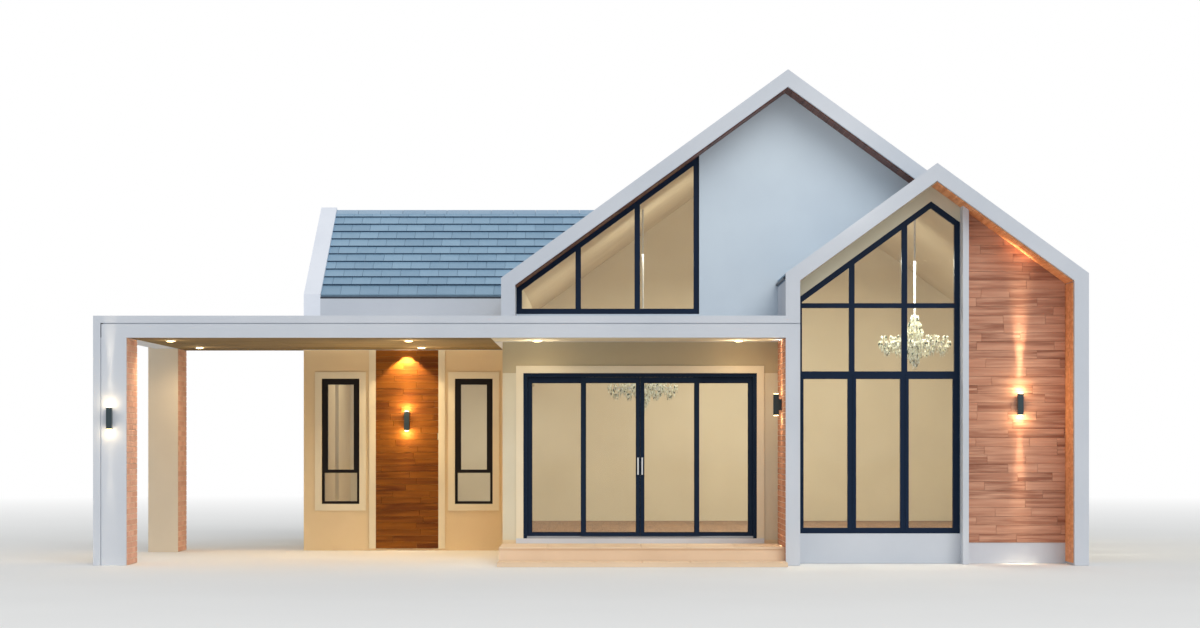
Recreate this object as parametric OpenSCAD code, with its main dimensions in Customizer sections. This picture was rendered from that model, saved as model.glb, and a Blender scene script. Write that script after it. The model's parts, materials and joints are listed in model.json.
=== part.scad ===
// Bungalow: a gabled main room with a gabled front bay, a lower side wing,
// and one flat roof that covers the carport and the front porch.
// X runs across the front, Y runs from the front to the back, Z is up.
// The origin is on the ground at the middle of the whole outline.

/* [Plan] */
// Width of the main room outside
main_w = 7826; // [7400:10:8800]
// Depth of the main room outside, from the gable wall to the back wall
main_d = 8550; // [8000:10:10000]
// Width of the front bay
bay_w = 4016; // [3800:10:4300]
// How far the bay and the flat roof stand in front of the gable wall
bay_out = 1650; // [1400:10:2000]
// Width of the side wing
wing_w = 3120; // [2900:10:3500]
// How far the wing's front wall stands behind the gable wall
wing_back = 3350; // [3000:10:3700]
// Width of the carport, from the main room to the outer column face
carport_w = 5366; // [4900:2:6000]
// Thickness of the outside walls
wall_t = 250; // [220:10:300]

/* [Levels] */
// Top of the lower porch step
step_h = 45; // [30:5:80]
// Top of the porch
porch_h = 210; // [180:5:240]
// Top of the floor inside
floor_h = 300; // [270:5:330]
// Thickness of the floor boards inside
board_t = 20; // [15:1:25]
// Top of the flat roof over the carport and the porch
portal_h = 3310; // [3200:10:3500]
// Thickness of the flat roof, from its ceiling to its top
portal_t = 290; // [260:5:340]
// Height of the wall between the door and window heads and the ceiling
over_head = 430; // [350:10:500]
// Eaves of the main room and the bay above the flat roof
eave_up = 565; // [500:5:700]
// Eaves of the wing above the flat roof
wing_eave_up = 514; // [450:2:560]

/* [Gable roofs] */
// Pitch of the main roof and the bay roof in degrees
pitch = 36; // [32:0.5:38]
// Pitch of the wing roof in degrees
wing_pitch = 30.5; // [27:0.5:33]
// Thickness of the white gable frames and of the roofs behind them
frame_t = 190; // [170:5:210]
// Width of the white edge in front of the tiles
verge_w = 80; // [60:5:120]
// How far the main gable frame stands out from its wall
gable_reveal = 600; // [400:10:700]
// How far the bay frame stands out from its wall
bay_reveal = 650; // [500:10:750]
// Thickness of the tiling
tile_t = 36; // [30:1:42]
// Height of the step from one course of tiles to the next
tile_step = 20; // [10:1:20]
// Length of tile that shows in one course
tile_gauge = 262; // [240:1:320]

// Length of the first course, at the eave
eave_course = 350; // [250:10:450]
// Half width of a ridge cap
cap_w = 120; // [90:5:150]
// Thickness of the wing's roof
wing_roof_t = 160; // [130:5:180]
// How far the wing's end wall stands above its roof
parapet_up = 40; // [30:5:80]
// Thickness of the boards under the roof edges
soffit_t = 14; // [10:1:20]
// Height and width of the gutters
gutter_h = 26; // [20:1:40]

/* [Carport and porch] */
// Height of the upper band along the flat roof's edge
band_h = 97; // [80:1:120]
// Width of the shadow groove under the upper band
groove_w = 13; // [8:1:20]
// Depth of the shadow groove
groove_d = 20; // [10:1:30]
// Thickness of the ceiling boards
ceiling_t = 20; // [15:1:30]
// Width of the white border round the ceiling boards
ceiling_edge = 110; // [80:5:150]
// Width of a column
column_w = 441; // [380:1:500]
// Depth of a column
column_d = 850; // [700:10:950]
// How far the rear column runs past the wing's front wall
rear_past = 250; // [150:10:350]
// Thickness of the brick facing
brick_t = 40; // [30:5:60]
// White corner in front of the brick facing
brick_corner = 30; // [20:5:60]
// How far the lower step reaches in front of the flat roof
step_out = 430; // [350:10:500]
// How far the porch stands behind the roof's front edge
porch_in = 200; // [100:10:300]

/* [Sliding door] */
// Width of the wall on each side of the sliding door
pier_w = 287; // [260:1:330]
// Setback of the door frame from the wall's face
door_set = 30; // [20:1:60]
// Width of the door frame's head and jambs
door_bar = 50; // [40:1:60]
// Height of the sill track
track_h = 22; // [18:1:30]
// Thickness of a door leaf
leaf_t = 40; // [34:1:44]
// Width of the outer stiles of a leaf
stile_w = 66; // [55:1:80]
// Width of the two meeting stiles in the middle
meeting_w = 50; // [45:1:60]
// Height of a leaf's top rail
top_rail = 75; // [60:1:90]
// Height of a leaf's bottom rail
bottom_rail = 50; // [40:1:80]
// Clear gap between a leaf and what it passes
leaf_gap = 8; // [6:1:12]
// Length of a pull handle
handle_l = 240; // [180:10:320]
// Height of the handle's middle above the floor
handle_up = 1000; // [950:10:1100]

/* [Bay window and board wall] */
// Width of the bay window
bay_window_w = 2207; // [2050:5:2300]
// Height of the bay window's sill
bay_sill = 402; // [370:2:450]
// Height of the plaster band over the bay window
bay_band = 215; // [150:5:280]
// Width of the bay window's mullions and jambs
mullion_w = 76; // [60:1:90]
// Height of the low transom, whose top is in line with the door heads
low_transom = 84; // [60:1:100]
// Underside of the high transom above the low one
high_transom_up = 855; // [780:5:900]
// Height of the high transom
high_transom = 65; // [50:1:80]
// Width of the opening sashes that show beside the lower mullions
sash_show = 20; // [12:1:30]
// Depth of all window frames
window_d = 70; // [60:2:90]
// Thickness of the glass units
glass_t = 24; // [20:1:32]
// Setback of the windows from the wall's face
window_set = 40; // [20:5:80]
// Width of the white fin beside the bay window
fin_w = 78; // [60:1:100]
// How far the fin stands out from the wall
fin_out = 280; // [200:5:350]

/* [Gable window] */
// Width of the gable window
gable_window_w = 2533; // [2400:5:2650]
// Height of the gable window's sill above the flat roof
gable_sill_up = 98; // [60:2:140]

/* [Small windows] */
// Width of a small window
small_w = 570; // [500:5:640]
// Height of a small window's sill
small_sill = 700; // [600:5:850]
// Height of the middle rail above the sill
small_rail_up = 468; // [400:4:560]
// Width of the small windows' frames
small_bar = 40; // [34:1:48]
// Width of the upper sash
small_sash = 50; // [40:1:60]
// Distance from the wing's corners to the middle of its front windows
small_in = 555; // [520:5:600]
// Width of the raised surround of doors and windows
surround_w = 100; // [80:1:110]
// How far a surround stands out from the wall
surround_t = 18; // [10:1:30]
// Depth of the white sill under the sliding door
door_sill_d = 36; // [20:2:60]
// Width of the wood panel between the wing's front windows
panel_w = 944; // [880:2:1000]
// Thickness of the wood panel
panel_t = 25; // [20:1:40]
// Gap under the wood panel and the boards of the bay's leg
panel_foot = 30; // [20:5:80]

/* [Lamps] */
// Width of a wall lamp
lamp_w = 75; // [60:1:90]
// Height of a wall lamp
lamp_l = 300; // [240:5:360]
// Depth of a wall lamp's body
lamp_d = 75; // [60:1:100]
// Gap between a wall lamp's body and the wall
lamp_off = 38; // [20:1:60]
// How far the lamp on the board wall stands right of the wall's middle
lamp_right = 45; // [0:1:80]
// Height of the carport lamps' middle
carport_lamp_h = 1950; // [1800:10:2100]
// Height of the front lamps' middle
front_lamp_h = 2142; // [2000:2:2250]
// Diameter of a ceiling downlight
downlight = 140; // [80:5:160]
// Distance from the roof's front edge to the front row of downlights
downlight_in = 1070; // [900:10:1200]
// Distance from the front row of downlights to the back row
downlight_step = 2690; // [2400:10:2900]
// Width of a hanging lamp across its arms
hang_w = 1050; // [900:10:1200]
// Height of a hanging lamp without its rod
hang_l = 800; // [700:10:900]
// Foot of the hanging lamp behind the sliding door
door_hang_h = 2060; // [1950:10:2200]
// Foot of the hanging lamp behind the bay
bay_hang_h = 2660; // [2500:10:2800]
// How far the first hanging lamp is behind the gable wall's face
door_hang_in = 2350; // [2200:10:2500]
// How far the second hanging lamp is behind the gable wall's face
bay_hang_in = 950; // [850:10:1100]
// How far the first hanging lamp is right of the door's middle
hang_right = 74; // [0:2:100]

/* [Hidden] */

// Places across the front
house_w = carport_w + main_w;
x_left = -house_w / 2;
x_main = x_left + carport_w;
x_right = x_main + main_w;
x_bay = x_right - bay_w;
x_wing = x_main - wing_w;
x_ridge = (x_main + x_right) / 2;
x_bay_ridge = (x_bay + x_right) / 2;

// Places from front to back
house_d = step_out + bay_out + main_d + gable_reveal;
y_front = step_out - house_d / 2;
y_gable = y_front + bay_out;
y_verge = y_gable - gable_reveal;
y_bay = y_front + bay_reveal;
y_wing = y_gable + wing_back;
y_back = y_gable + main_d;
y_end = y_back + gable_reveal;
y_wing_ridge = (y_wing + y_back) / 2;
y_rear = y_wing + rear_past;

// Heights
head_h = portal_h - portal_t - over_head;
ceiling_h = portal_h - portal_t;
eave_h = portal_h + eave_up;
wing_eave_h = portal_h + wing_eave_up;
gable_sill = portal_h + gable_sill_up;

// Slopes and heights along the roofs
rise = tan(pitch);
wing_rise = tan(wing_pitch);
slab_v = frame_t / cos(pitch);
soffit_v = soffit_t / cos(pitch);
tile_v = tile_t / cos(pitch);
wing_slab_v = wing_roof_t / cos(wing_pitch);
wing_tile_v = tile_t / cos(wing_pitch);
function main_z(x) = eave_h + min(x - x_main, x_right - x) * rise;
function bay_z(x) = eave_h + min(x - x_bay, x_right - x) * rise;
function wing_z(y) = wing_eave_h + min(y - y_wing, y_back - y) * wing_rise;
ridge_h = main_z(x_ridge);
bay_ridge_h = bay_z(x_bay_ridge);
wing_ridge_h = wing_z(y_wing_ridge);
knee = eave_h + frame_t * rise - slab_v;
through = 100;
// Clearance between sloping pieces that lie on each other
bed = 0.2;
function under_main(x) = main_z(x) - slab_v - bed;
function under_bay(x) = bay_z(x) - slab_v - bed;

// A box between two corners
module block(low, high) {
    translate(low) cube(high - low);
}

// An outline in X and Z, drawn out along Y
module along_y(points, y0, y1) {
    translate([0, y1, 0]) rotate([90, 0, 0]) linear_extrude(y1 - y0) polygon(points);
}

// A flat shape in X and Z, drawn out along Y from y0 to the back
module plate(y0, depth) {
    translate([0, y0 + depth, 0]) rotate([90, 0, 0]) linear_extrude(depth) children();
}

// An outline in Y and Z, drawn out along X
module along_x(points, x0, x1) {
    translate([x0, 0, 0]) rotate([90, 0, 90]) linear_extrude(x1 - x0) polygon(points);
}

// Puts a piece that faces -Y on a wall whose face looks the way that turn gives
module on_wall(place) {
    translate([place[0], place[1], 0]) rotate([0, 0, place[2]]) children();
}

// The outline of one roof slope from its eave to its ridge, lowered on top for the tiles
function slope(x_eave, x_top, lowered) =
    let (way = sign(x_top - x_eave), top = eave_h + abs(x_top - x_eave) * rise)
    [
        [x_eave, knee],
        [x_eave, eave_h - lowered],
        [x_top, top - lowered],
        [x_top, top - slab_v],
        [x_eave + way * frame_t, knee]
    ];

// The outline of stepped tile courses, from the eave at h to the side of the ridge cap
function course_foot(k) = k == 0 ? 0 : eave_course + (k - 1) * tile_gauge;
function courses(h, way, foot, run, angle) =
    let (
        length = (run - cap_w) / cos(angle) - bed,
        last = length + (tile_t - tile_step) * tan(angle),
        count = 1 + ceil((length - eave_course) / tile_gauge)
    )
    concat(
        [[0, 0]],
        [for (k = [0 : count - 1], end = [0, 1])
            end == 0
                ? [k == 0 ? tile_t * tan(angle) : course_foot(k), tile_t]
                : [min(course_foot(k + 1), last), tile_t - tile_step]],
        [[length, 0]]
    );

// Turns points along a slope and across it into points in the section
function on_slope(points, h, way, foot, angle) = [
    for (p = points) [
        h + way * (p[0] * cos(angle) - p[1] * sin(angle)),
        foot + bed + p[0] * sin(angle) + p[1] * cos(angle)
    ]
];
function tiling(h, way, foot, run, angle) = on_slope(courses(h, way, foot, run, angle), h, way, foot, angle);

// The section of a ridge cap over the tiles of both slopes
function cap(h, top, tan_pitch, thick_v) =
    let (foot = bed - thick_v, fall = cap_w * tan_pitch)
    [
        [h - cap_w, top - fall + foot],
        [h - cap_w, top - fall],
        [h, top],
        [h + cap_w, top - fall],
        [h + cap_w, top - fall + foot],
        [h, top + foot]
    ];

// Everything under the main roof's nominal planes
module under_main_roof(lowered, y0, y1) {
    along_y([
        [x_main, 0],
        [x_main, eave_h - lowered],
        [x_ridge, ridge_h - lowered],
        [x_right, eave_h - lowered],
        [x_right, 0]
    ], y0, y1);
}

// Middles of the small windows with the way that each faces
side_step = (y_back - y_bay) / 4;
front_windows = [
    [x_wing + small_in, y_wing, 0],
    [x_main - small_in, y_wing, 0]
];
side_windows = [for (k = [1 : 3]) [x_right, y_bay + (k + 0.3) * side_step - side_step / 4, 90]];
back_windows = [[x_bay + small_w, y_back, 180]];
wing_windows = [[(x_wing + x_main) / 2, y_back, 180]];
end_windows = [[x_wing, y_wing_ridge, -90]];
surround_windows = concat(front_windows, back_windows, wing_windows, end_windows);
small_windows = concat(surround_windows, side_windows);

// Hole for a small window
module small_hole() {
    block([-small_w / 2, -through, small_sill], [small_w / 2, wall_t + through, head_h]);
}

module floor_slab() {
    color("tan") linear_extrude(floor_h - board_t) difference() {
        union() {
            translate([x_main, y_gable]) square([main_w, main_d]);
            translate([x_wing, y_wing]) square([wing_w, y_back - y_wing]);
            translate([x_bay + frame_t, y_bay]) square([bay_w - frame_t, bay_out - bay_reveal]);
        }
        translate([x_right - frame_t, y_front]) square([frame_t, y_verge - y_front]);
    }
}

module room_floor() {
    color("peru") translate([0, 0, floor_h - board_t]) linear_extrude(board_t) {
        translate([x_main + wall_t, y_gable + wall_t]) square([main_w - 2 * wall_t, main_d - 2 * wall_t]);
        translate([x_wing + wall_t, y_wing + wall_t]) square([wing_w, y_back - y_wing - 2 * wall_t]);
        translate([x_bay + frame_t, y_bay + wall_t])
            square([bay_w - frame_t - wall_t, bay_out - bay_reveal]);
    }
}

module porch_plinth() {
    color("linen") block([x_main, y_front + porch_in, 0], [x_bay, y_gable, porch_h]);
}

module porch_step() {
    color("linen") block([x_main, y_front - step_out, 0], [x_bay, y_front + porch_in, step_h]);
}

// One column: an outer plate, a core that leaves room for the brick facing, and between them a
// shadow groove as deep as the cut
module column(y0, cut) {
    core_x = x_left + band_h + groove_w;
    inner_x = x_left + column_w;
    block([x_left, y0, 0], [x_left + band_h, y0 + column_d, portal_h - band_h]);
    block([x_left + band_h, y0 + cut, 0], [core_x, y0 + column_d, ceiling_h]);
    block([core_x, y0, 0], [inner_x - brick_t, y0 + column_d, ceiling_h]);
    block([inner_x - brick_t, y0, 0], [inner_x, y0 + brick_corner, ceiling_h]);
}

module columns() {
    color("gainsboro") {
        column(y_front, groove_d);
        column(y_rear - column_d, 0);
    }
}

// Brick on the inner faces of the columns and on the bay's leg beside the porch
module brick_facing() {
    brick_x = x_left + column_w - brick_t;
    color("darksalmon") {
        for (y0 = [y_front, y_rear - column_d])
            block([brick_x, y0 + brick_corner, 0], [brick_x + brick_t, y0 + column_d, ceiling_h]);
        block([x_bay, y_front + brick_corner, 0], [x_bay + brick_t, y_gable, ceiling_h]);
    }
}

// Outline of the flat roof in plan, drawn in by a margin at its free edges
module flat_roof(margin) {
    translate([x_left + margin, y_front + margin])
        square([x_wing - x_left - margin, y_rear - y_front - 2 * margin]);
    translate([x_wing, y_front + margin]) square([wing_w, y_wing - y_front - margin]);
    translate([x_main, y_front + margin]) square([x_bay - x_main, bay_out - margin]);
}

module carport_deck() {
    deck_top = portal_h - band_h - groove_w;
    color("gainsboro") difference() {
        union() {
            translate([0, 0, ceiling_h]) linear_extrude(deck_top - ceiling_h) difference() {
                flat_roof(0);
                translate([x_left, y_front]) square([band_h + groove_w, y_rear - y_front]);
            }
            translate([0, 0, deck_top]) linear_extrude(groove_w) difference() {
                flat_roof(groove_d);
                translate([x_left, y_front]) square([band_h + groove_w + groove_d, y_rear - y_front]);
            }
        }
        translate([0, 0, ceiling_h - through]) linear_extrude(through + ceiling_t) ceiling_outline();
    }
}

// The boarded fields of the ceiling inside their white border
module ceiling_outline() {
    inner_x = x_left + column_w;
    translate([inner_x, y_front + ceiling_edge])
        square([x_wing - inner_x, y_rear - y_front - 2 * ceiling_edge]);
    translate([x_wing, y_front + ceiling_edge])
        square([wing_w - ceiling_edge, y_wing - y_front - 2 * ceiling_edge]);
    translate([x_main - ceiling_edge, y_front + ceiling_edge])
        square([x_bay - x_main, bay_out - 2 * ceiling_edge]);
}

module carport_ceiling() {
    color("rosybrown") translate([0, 0, ceiling_h]) linear_extrude(ceiling_t) ceiling_outline();
}

module carport_roof() {
    color("gainsboro") translate([0, 0, portal_h - band_h]) linear_extrude(band_h) flat_roof(0);
}

// Places of the downlights in the carport and the porch
carport_rows = [x_left + 0.16 * carport_w, x_main - 0.235 * carport_w];
porch_rows = [x_main + 0.13 * (x_bay - x_main), x_bay - 0.15 * (x_bay - x_main)];
lamp_rows = [
    for (x = carport_rows, k = [0, 1]) [x, y_front + downlight_in + k * downlight_step],
    for (x = porch_rows) [x, y_front + downlight_in]
];

module downlights() {
    ring_h = 8;
    color("white") for (p = lamp_rows) {
        translate([p[0], p[1], ceiling_h - ring_h]) cylinder(h = ring_h, d = downlight, $fn = 32);
    }
}

// The wing's front or back wall from its outer face inwards, with a low edge in front of the roof
module wing_long_wall(y_face, way, x0, x1) {
    gutter_z = wing_eave_h - gutter_h;
    edge = verge_w;
    lowered = wing_slab_v + bed;
    points = [
        [y_face, floor_h - board_t],
        [y_face, gutter_z],
        [y_face + way * edge, gutter_z],
        [y_face + way * edge, wing_z(y_face + way * edge) - lowered],
        [y_face + way * wall_t, wing_z(y_face + way * wall_t) - lowered],
        [y_face + way * wall_t, floor_h - board_t]
    ];
    along_x(points, x0, x1);
}

module wing_front_wall() {
    color("wheat") difference() {
        wing_long_wall(y_wing, 1, x_wing + wall_t, x_main);
        for (w = front_windows) on_wall(w) small_hole();
    }
}

module wing_back_wall() {
    color("wheat") difference() {
        wing_long_wall(y_back, -1, x_wing + wall_t, x_main);
        for (w = wing_windows) on_wall(w) small_hole();
    }
}

module wing_end_wall() {
    points = [
        [y_wing, floor_h - board_t],
        [y_wing, wing_eave_h + parapet_up],
        [y_wing_ridge, wing_ridge_h + parapet_up],
        [y_back, wing_eave_h + parapet_up],
        [y_back, floor_h - board_t]
    ];
    color("gainsboro") difference() {
        along_x(points, x_wing, x_wing + wall_t);
        for (w = end_windows) on_wall(w) small_hole();
    }
}

// One slope of the wing's roof, cut where it meets the main roof
module wing_slope(y_face, way) {
    y0 = y_face + way * verge_w;
    points = [
        [y0, wing_z(y0) - wing_slab_v],
        [y0, wing_z(y0) - wing_tile_v],
        [y_wing_ridge, wing_ridge_h - wing_tile_v],
        [y_wing_ridge, wing_ridge_h - wing_slab_v]
    ];
    difference() {
        along_x(points, x_wing + wall_t, x_ridge);
        under_main_roof(0, y_wing, y_back);
    }
}

module wing_roof_front() {
    color("slategray") wing_slope(y_wing, 1);
}

module wing_roof_back() {
    color("slategray") wing_slope(y_back, -1);
}

module left_wall() {
    color("wheat") side_wall(x_main, 1, y_gable + wall_t, y_wing + wall_t);
}

// A side wall of the main room under its roof slope
module side_wall(x_face, way, y0, y1) {
    points = [
        [x_face, floor_h - board_t],
        [x_face, knee],
        [x_face + way * frame_t, knee],
        [x_face + way * wall_t, knee + (wall_t - frame_t) * rise - bed],
        [x_face + way * wall_t, floor_h - board_t]
    ];
    along_y(points, y0, y1);
}

module wing_lintel() {
    color("wheat") intersection() {
        side_wall(x_main, 1, y_wing + wall_t, y_back - wall_t);
        block([x_main, y_wing, head_h], [x_main + wall_t, y_back, eave_h]);
    }
}

module right_wall() {
    color("wheat") difference() {
        side_wall(x_right, -1, y_verge, y_back);
        for (w = side_windows) on_wall(w) small_hole();
    }
}

module back_wall() {
    x0 = x_main + wall_t;
    x1 = x_right - wall_t;
    points = [
        [x0, floor_h - board_t],
        [x0, under_main(x0)],
        [x_ridge, under_main(x_ridge)],
        [x1, under_main(x1)],
        [x1, floor_h - board_t]
    ];
    color("wheat") difference() {
        union() {
            along_y(points, y_back - wall_t, y_back);
            side_wall(x_main, 1, y_back - wall_t, y_back);
        }
        for (w = back_windows) on_wall(w) small_hole();
    }
}

// The porch wall's two piers beside the sliding door
door_x0 = x_main + pier_w;
door_x1 = x_bay - pier_w;
door_w = door_x1 - door_x0;
pier_x1 = x_bay + frame_t;

module porch_piers() {
    color("wheat") {
        block([x_main, y_gable, floor_h - board_t], [door_x0, y_gable + wall_t, head_h]);
        block([door_x1, y_gable, floor_h - board_t], [pier_x1, y_gable + wall_t, head_h]);
    }
}

module porch_lintel() {
    color("wheat") block([x_main, y_gable, head_h], [pier_x1, y_gable + wall_t, gable_sill]);
}

gable_x0 = x_main + frame_t;
gable_x1 = gable_x0 + gable_window_w;

// The gable wall beside its window and over the bay's roof
module gable_wall() {
    points = [
        [gable_x1, gable_sill],
        [gable_x1, under_main(gable_x1)],
        [x_ridge, under_main(x_ridge)],
        [x_bay_ridge, under_bay(x_bay_ridge)],
        [pier_x1, under_bay(pier_x1)],
        [pier_x1, gable_sill]
    ];
    color("lightsteelblue") {
        along_y(points, y_gable, y_gable + wall_t);
        block([x_main, y_gable, gable_sill], [gable_x0, y_gable + wall_t, knee]);
    }
}

// The short front leg stands on the flat roof, and the two back legs on the ground
module main_legs() {
    color("gainsboro") {
        block([x_main, y_verge, portal_h], [x_main + frame_t, y_gable, knee]);
        block([x_main, y_back, 0], [x_main + frame_t, y_end, knee]);
        block([x_right - frame_t, y_back, 0], [x_right, y_end, knee]);
    }
}

module main_verge_left() {
    color("gainsboro") {
        along_y(slope(x_main, x_ridge, 0), y_verge, y_verge + verge_w);
        along_y(slope(x_main, x_ridge, 0), y_end - verge_w, y_end);
    }
}

// At the front the right verge ends where the bay's roof lies in the same plane
module main_verge_right() {
    front = [
        [x_ridge, ridge_h],
        [x_bay_ridge, bay_ridge_h],
        [x_bay_ridge, bay_ridge_h - slab_v],
        [x_ridge, ridge_h - slab_v]
    ];
    color("gainsboro") {
        along_y(front, y_verge, y_verge + verge_w);
        along_y(slope(x_right, x_ridge, 0), y_end - verge_w, y_end);
    }
}

module main_roof_left() {
    color("slategray") along_y(slope(x_main, x_ridge, tile_v), y_verge + verge_w, y_end - verge_w);
}

module main_roof_right() {
    color("slategray") along_y(slope(x_right, x_ridge, tile_v), y_verge + verge_w, y_end - verge_w);
}

// The left leg runs back to the gable wall and is faced with brick beside the porch
module bay_legs() {
    groove_z = portal_h - band_h - groove_w;
    color("gainsboro") {
        difference() {
            block([x_bay, y_front, 0], [x_bay + frame_t, y_gable, knee]);
            block(
                [x_bay - through, y_front + brick_corner, -through],
                [x_bay + brick_t, y_gable + through, ceiling_h]
            );
            block(
                [x_bay - through, y_front - through, groove_z],
                [x_bay + frame_t + through, y_front + groove_d, groove_z + groove_w]
            );
        }
        block([x_right - frame_t, y_front, 0], [x_right, y_verge, knee]);
    }
}

module bay_verge_left() {
    color("gainsboro") along_y(slope(x_bay, x_bay_ridge, 0), y_front, y_front + verge_w);
}

module bay_verge_right() {
    color("gainsboro") along_y(slope(x_right, x_bay_ridge, 0), y_front, y_front + verge_w);
}

// The bay's left slope runs back to the gable wall, under the main roof's edge
module bay_roof_left() {
    color("slategray") difference() {
        along_y(slope(x_bay, x_bay_ridge, tile_v), y_front + verge_w, y_gable);
        main_edge(y_verge, y_gable + through);
    }
}

module bay_roof_right() {
    color("slategray") along_y(slope(x_right, x_bay_ridge, tile_v), y_front + verge_w, y_verge + verge_w);
}

// The main roof's front edge on the bay's side, with the tiles
module main_edge(y0, y1) {
    along_y([
        [x_ridge, ridge_h + through],
        [x_bay_ridge + through, bay_ridge_h + through],
        [x_bay_ridge + through, bay_z(x_bay_ridge + through) - slab_v],
        [x_bay_ridge, bay_ridge_h - slab_v],
        [x_ridge, ridge_h - slab_v]
    ], y0, y1);
}

module roof_tiles() {
    main_run = x_ridge - x_main;
    bay_run = x_bay_ridge - x_bay;
    wing_run = y_wing_ridge - y_wing - verge_w;
    foot = eave_h - tile_v;
    wing_foot = wing_z(y_wing + verge_w) - wing_tile_v;
    y0 = y_verge + verge_w;
    color("lightslategray") {
        difference() {
            along_y(tiling(x_main, 1, foot, main_run, pitch), y0, y_end - verge_w);
            wing_cut();
        }
        difference() {
            along_y(tiling(x_right, -1, foot, main_run, pitch), y_front + verge_w, y_end - verge_w);
            block([x_ridge - through, y_front, 0], [x_bay_ridge + cap_w, y0, ridge_h + through]);
        }
        difference() {
            along_y(tiling(x_bay, 1, foot, bay_run, pitch), y_front + verge_w, y_gable);
            main_edge(y_verge, y_gable + through);
        }
        difference() {
            union() {
                for (way = [1, -1]) {
                    h = way > 0 ? y_wing + verge_w : y_back - verge_w;
                    along_x(tiling(h, way, wing_foot, wing_run, wing_pitch), x_wing + wall_t, x_ridge);
                }
            }
            under_main_roof(0, y_wing, y_back);
        }
    }
}

// The space that the wing's roof takes over the main roof's left slope
module wing_cut() {
    along_x([
        [y_wing, 0],
        [y_wing, wing_eave_h],
        [y_wing_ridge, wing_ridge_h],
        [y_back, wing_eave_h],
        [y_back, 0]
    ], x_main - through, x_ridge);
}

module ridge_caps() {
    wing_top = wing_ridge_h;
    color("dimgray") {
        along_y(cap(x_ridge, ridge_h, rise, tile_v), y_verge + verge_w, y_end - verge_w);
        along_y(cap(x_bay_ridge, bay_ridge_h, rise, tile_v), y_front + verge_w, y_verge);
        difference() {
            along_x(cap(y_wing_ridge, wing_top, wing_rise, wing_tile_v), x_wing + wall_t, x_ridge);
            under_main_roof(0, y_wing, y_back);
        }
    }
}

module gutters() {
    z0 = wing_eave_h - gutter_h;
    color("darkslategray") {
        block([x_wing + wall_t, y_wing, z0], [x_main, y_wing + verge_w, wing_eave_h]);
        block([x_wing + wall_t, y_back - verge_w, z0], [x_main, y_back, wing_eave_h]);
        block(
            [x_bay - gutter_h, y_front + verge_w, eave_h - tile_v - gutter_h],
            [x_bay, y_gable, eave_h - tile_v]
        );
    }
}

// Boards under a roof slope: their outline lies below the slab's underside
function lining(x_eave, x_top) =
    let (way = sign(x_top - x_eave), x0 = x_eave + way * frame_t)
    let (top = eave_h + abs(x_top - x_eave) * rise - slab_v)
    [
        [x0, knee - bed],
        [x_top, top - bed],
        [x_top, top - soffit_v],
        [x0, knee - soffit_v]
    ];

module bay_soffit() {
    inner_x = x_right - frame_t;
    y0 = y_front + verge_w;
    color("chocolate") {
        along_y(lining(x_bay, x_bay_ridge), y0, y_bay);
        along_y(lining(x_right, x_bay_ridge), y0, y_bay);
        block([inner_x - soffit_t, y0, panel_foot], [inner_x, y_bay, knee - soffit_v - bed]);
    }
}

// The main gable's boards end where they come down on the bay's tiles
module gable_soffit() {
    end_x = x_bay_ridge - (slab_v + soffit_v) / (2 * rise) - bed;
    color("saddlebrown") {
        along_y(lining(x_main, x_ridge), y_verge + verge_w, y_gable);
        difference() {
            along_y(lining(x_right, x_ridge), y_verge + verge_w, y_gable);
            block([end_x, y_front, 0], [x_right, y_gable + through, ridge_h]);
        }
    }
}

// The bay window's outline, with its head parallel to the roof
bay_x0 = x_bay + frame_t;
bay_x1 = bay_x0 + bay_window_w;
fin_x1 = bay_x1 + fin_w;
function bay_head(x) = under_bay(x) - bay_band;
function bay_outline(inset) = [
    [bay_x0 + inset, bay_sill + inset],
    [bay_x0 + inset, bay_head(bay_x0 + inset) - inset / cos(pitch)],
    [x_bay_ridge, bay_head(x_bay_ridge) - inset / cos(pitch)],
    [bay_x1 - inset, bay_head(bay_x1 - inset) - inset / cos(pitch)],
    [bay_x1 - inset, bay_sill + inset]
];

module bay_plinth() {
    color("white") block([bay_x0, y_bay, floor_h - board_t], [bay_x1, y_bay + wall_t, bay_sill]);
}

module bay_head_band() {
    points = [
        [bay_x0, bay_head(bay_x0) + bed],
        [bay_x0, under_bay(bay_x0)],
        [x_bay_ridge, under_bay(x_bay_ridge)],
        [bay_x1, under_bay(bay_x1)],
        [bay_x1, bay_head(bay_x1) + bed],
        [x_bay_ridge, bay_head(x_bay_ridge) + bed]
    ];
    color("wheat") along_y(points, y_bay, y_bay + wall_t);
}

module window_fin() {
    points = [
        [bay_x1, 0],
        [bay_x1, under_bay(bay_x1)],
        [fin_x1, under_bay(fin_x1)],
        [fin_x1, 0]
    ];
    front = [for (p = points) [p[0], p[1] == 0 ? 0 : p[1] - soffit_v - bed]];
    color("white") {
        along_y(front, y_bay - fin_out, y_bay);
        along_y([for (p = points) [p[0], p[1] == 0 ? floor_h - board_t : p[1]]], y_bay, y_bay + wall_t);
    }
}

module wood_wall() {
    x1 = x_right - frame_t;
    points = [
        [fin_x1, floor_h - board_t],
        [fin_x1, under_bay(fin_x1)],
        [x1, under_bay(x1)],
        [x1, floor_h - board_t]
    ];
    color("sienna") along_y(points, y_bay, y_bay + wall_t);
}

// Edges of the panes between a window's bars, from left to right or from the bottom up
pane_w = (bay_window_w - 4 * mullion_w) / 3;
bay_columns = [for (k = [0 : 2]) bay_x0 + mullion_w + k * (pane_w + mullion_w)];
bay_rows = [
    [bay_sill, head_h - low_transom],
    [head_h, head_h + high_transom_up],
    [head_h + high_transom_up + high_transom, bay_ridge_h]
];

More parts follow.
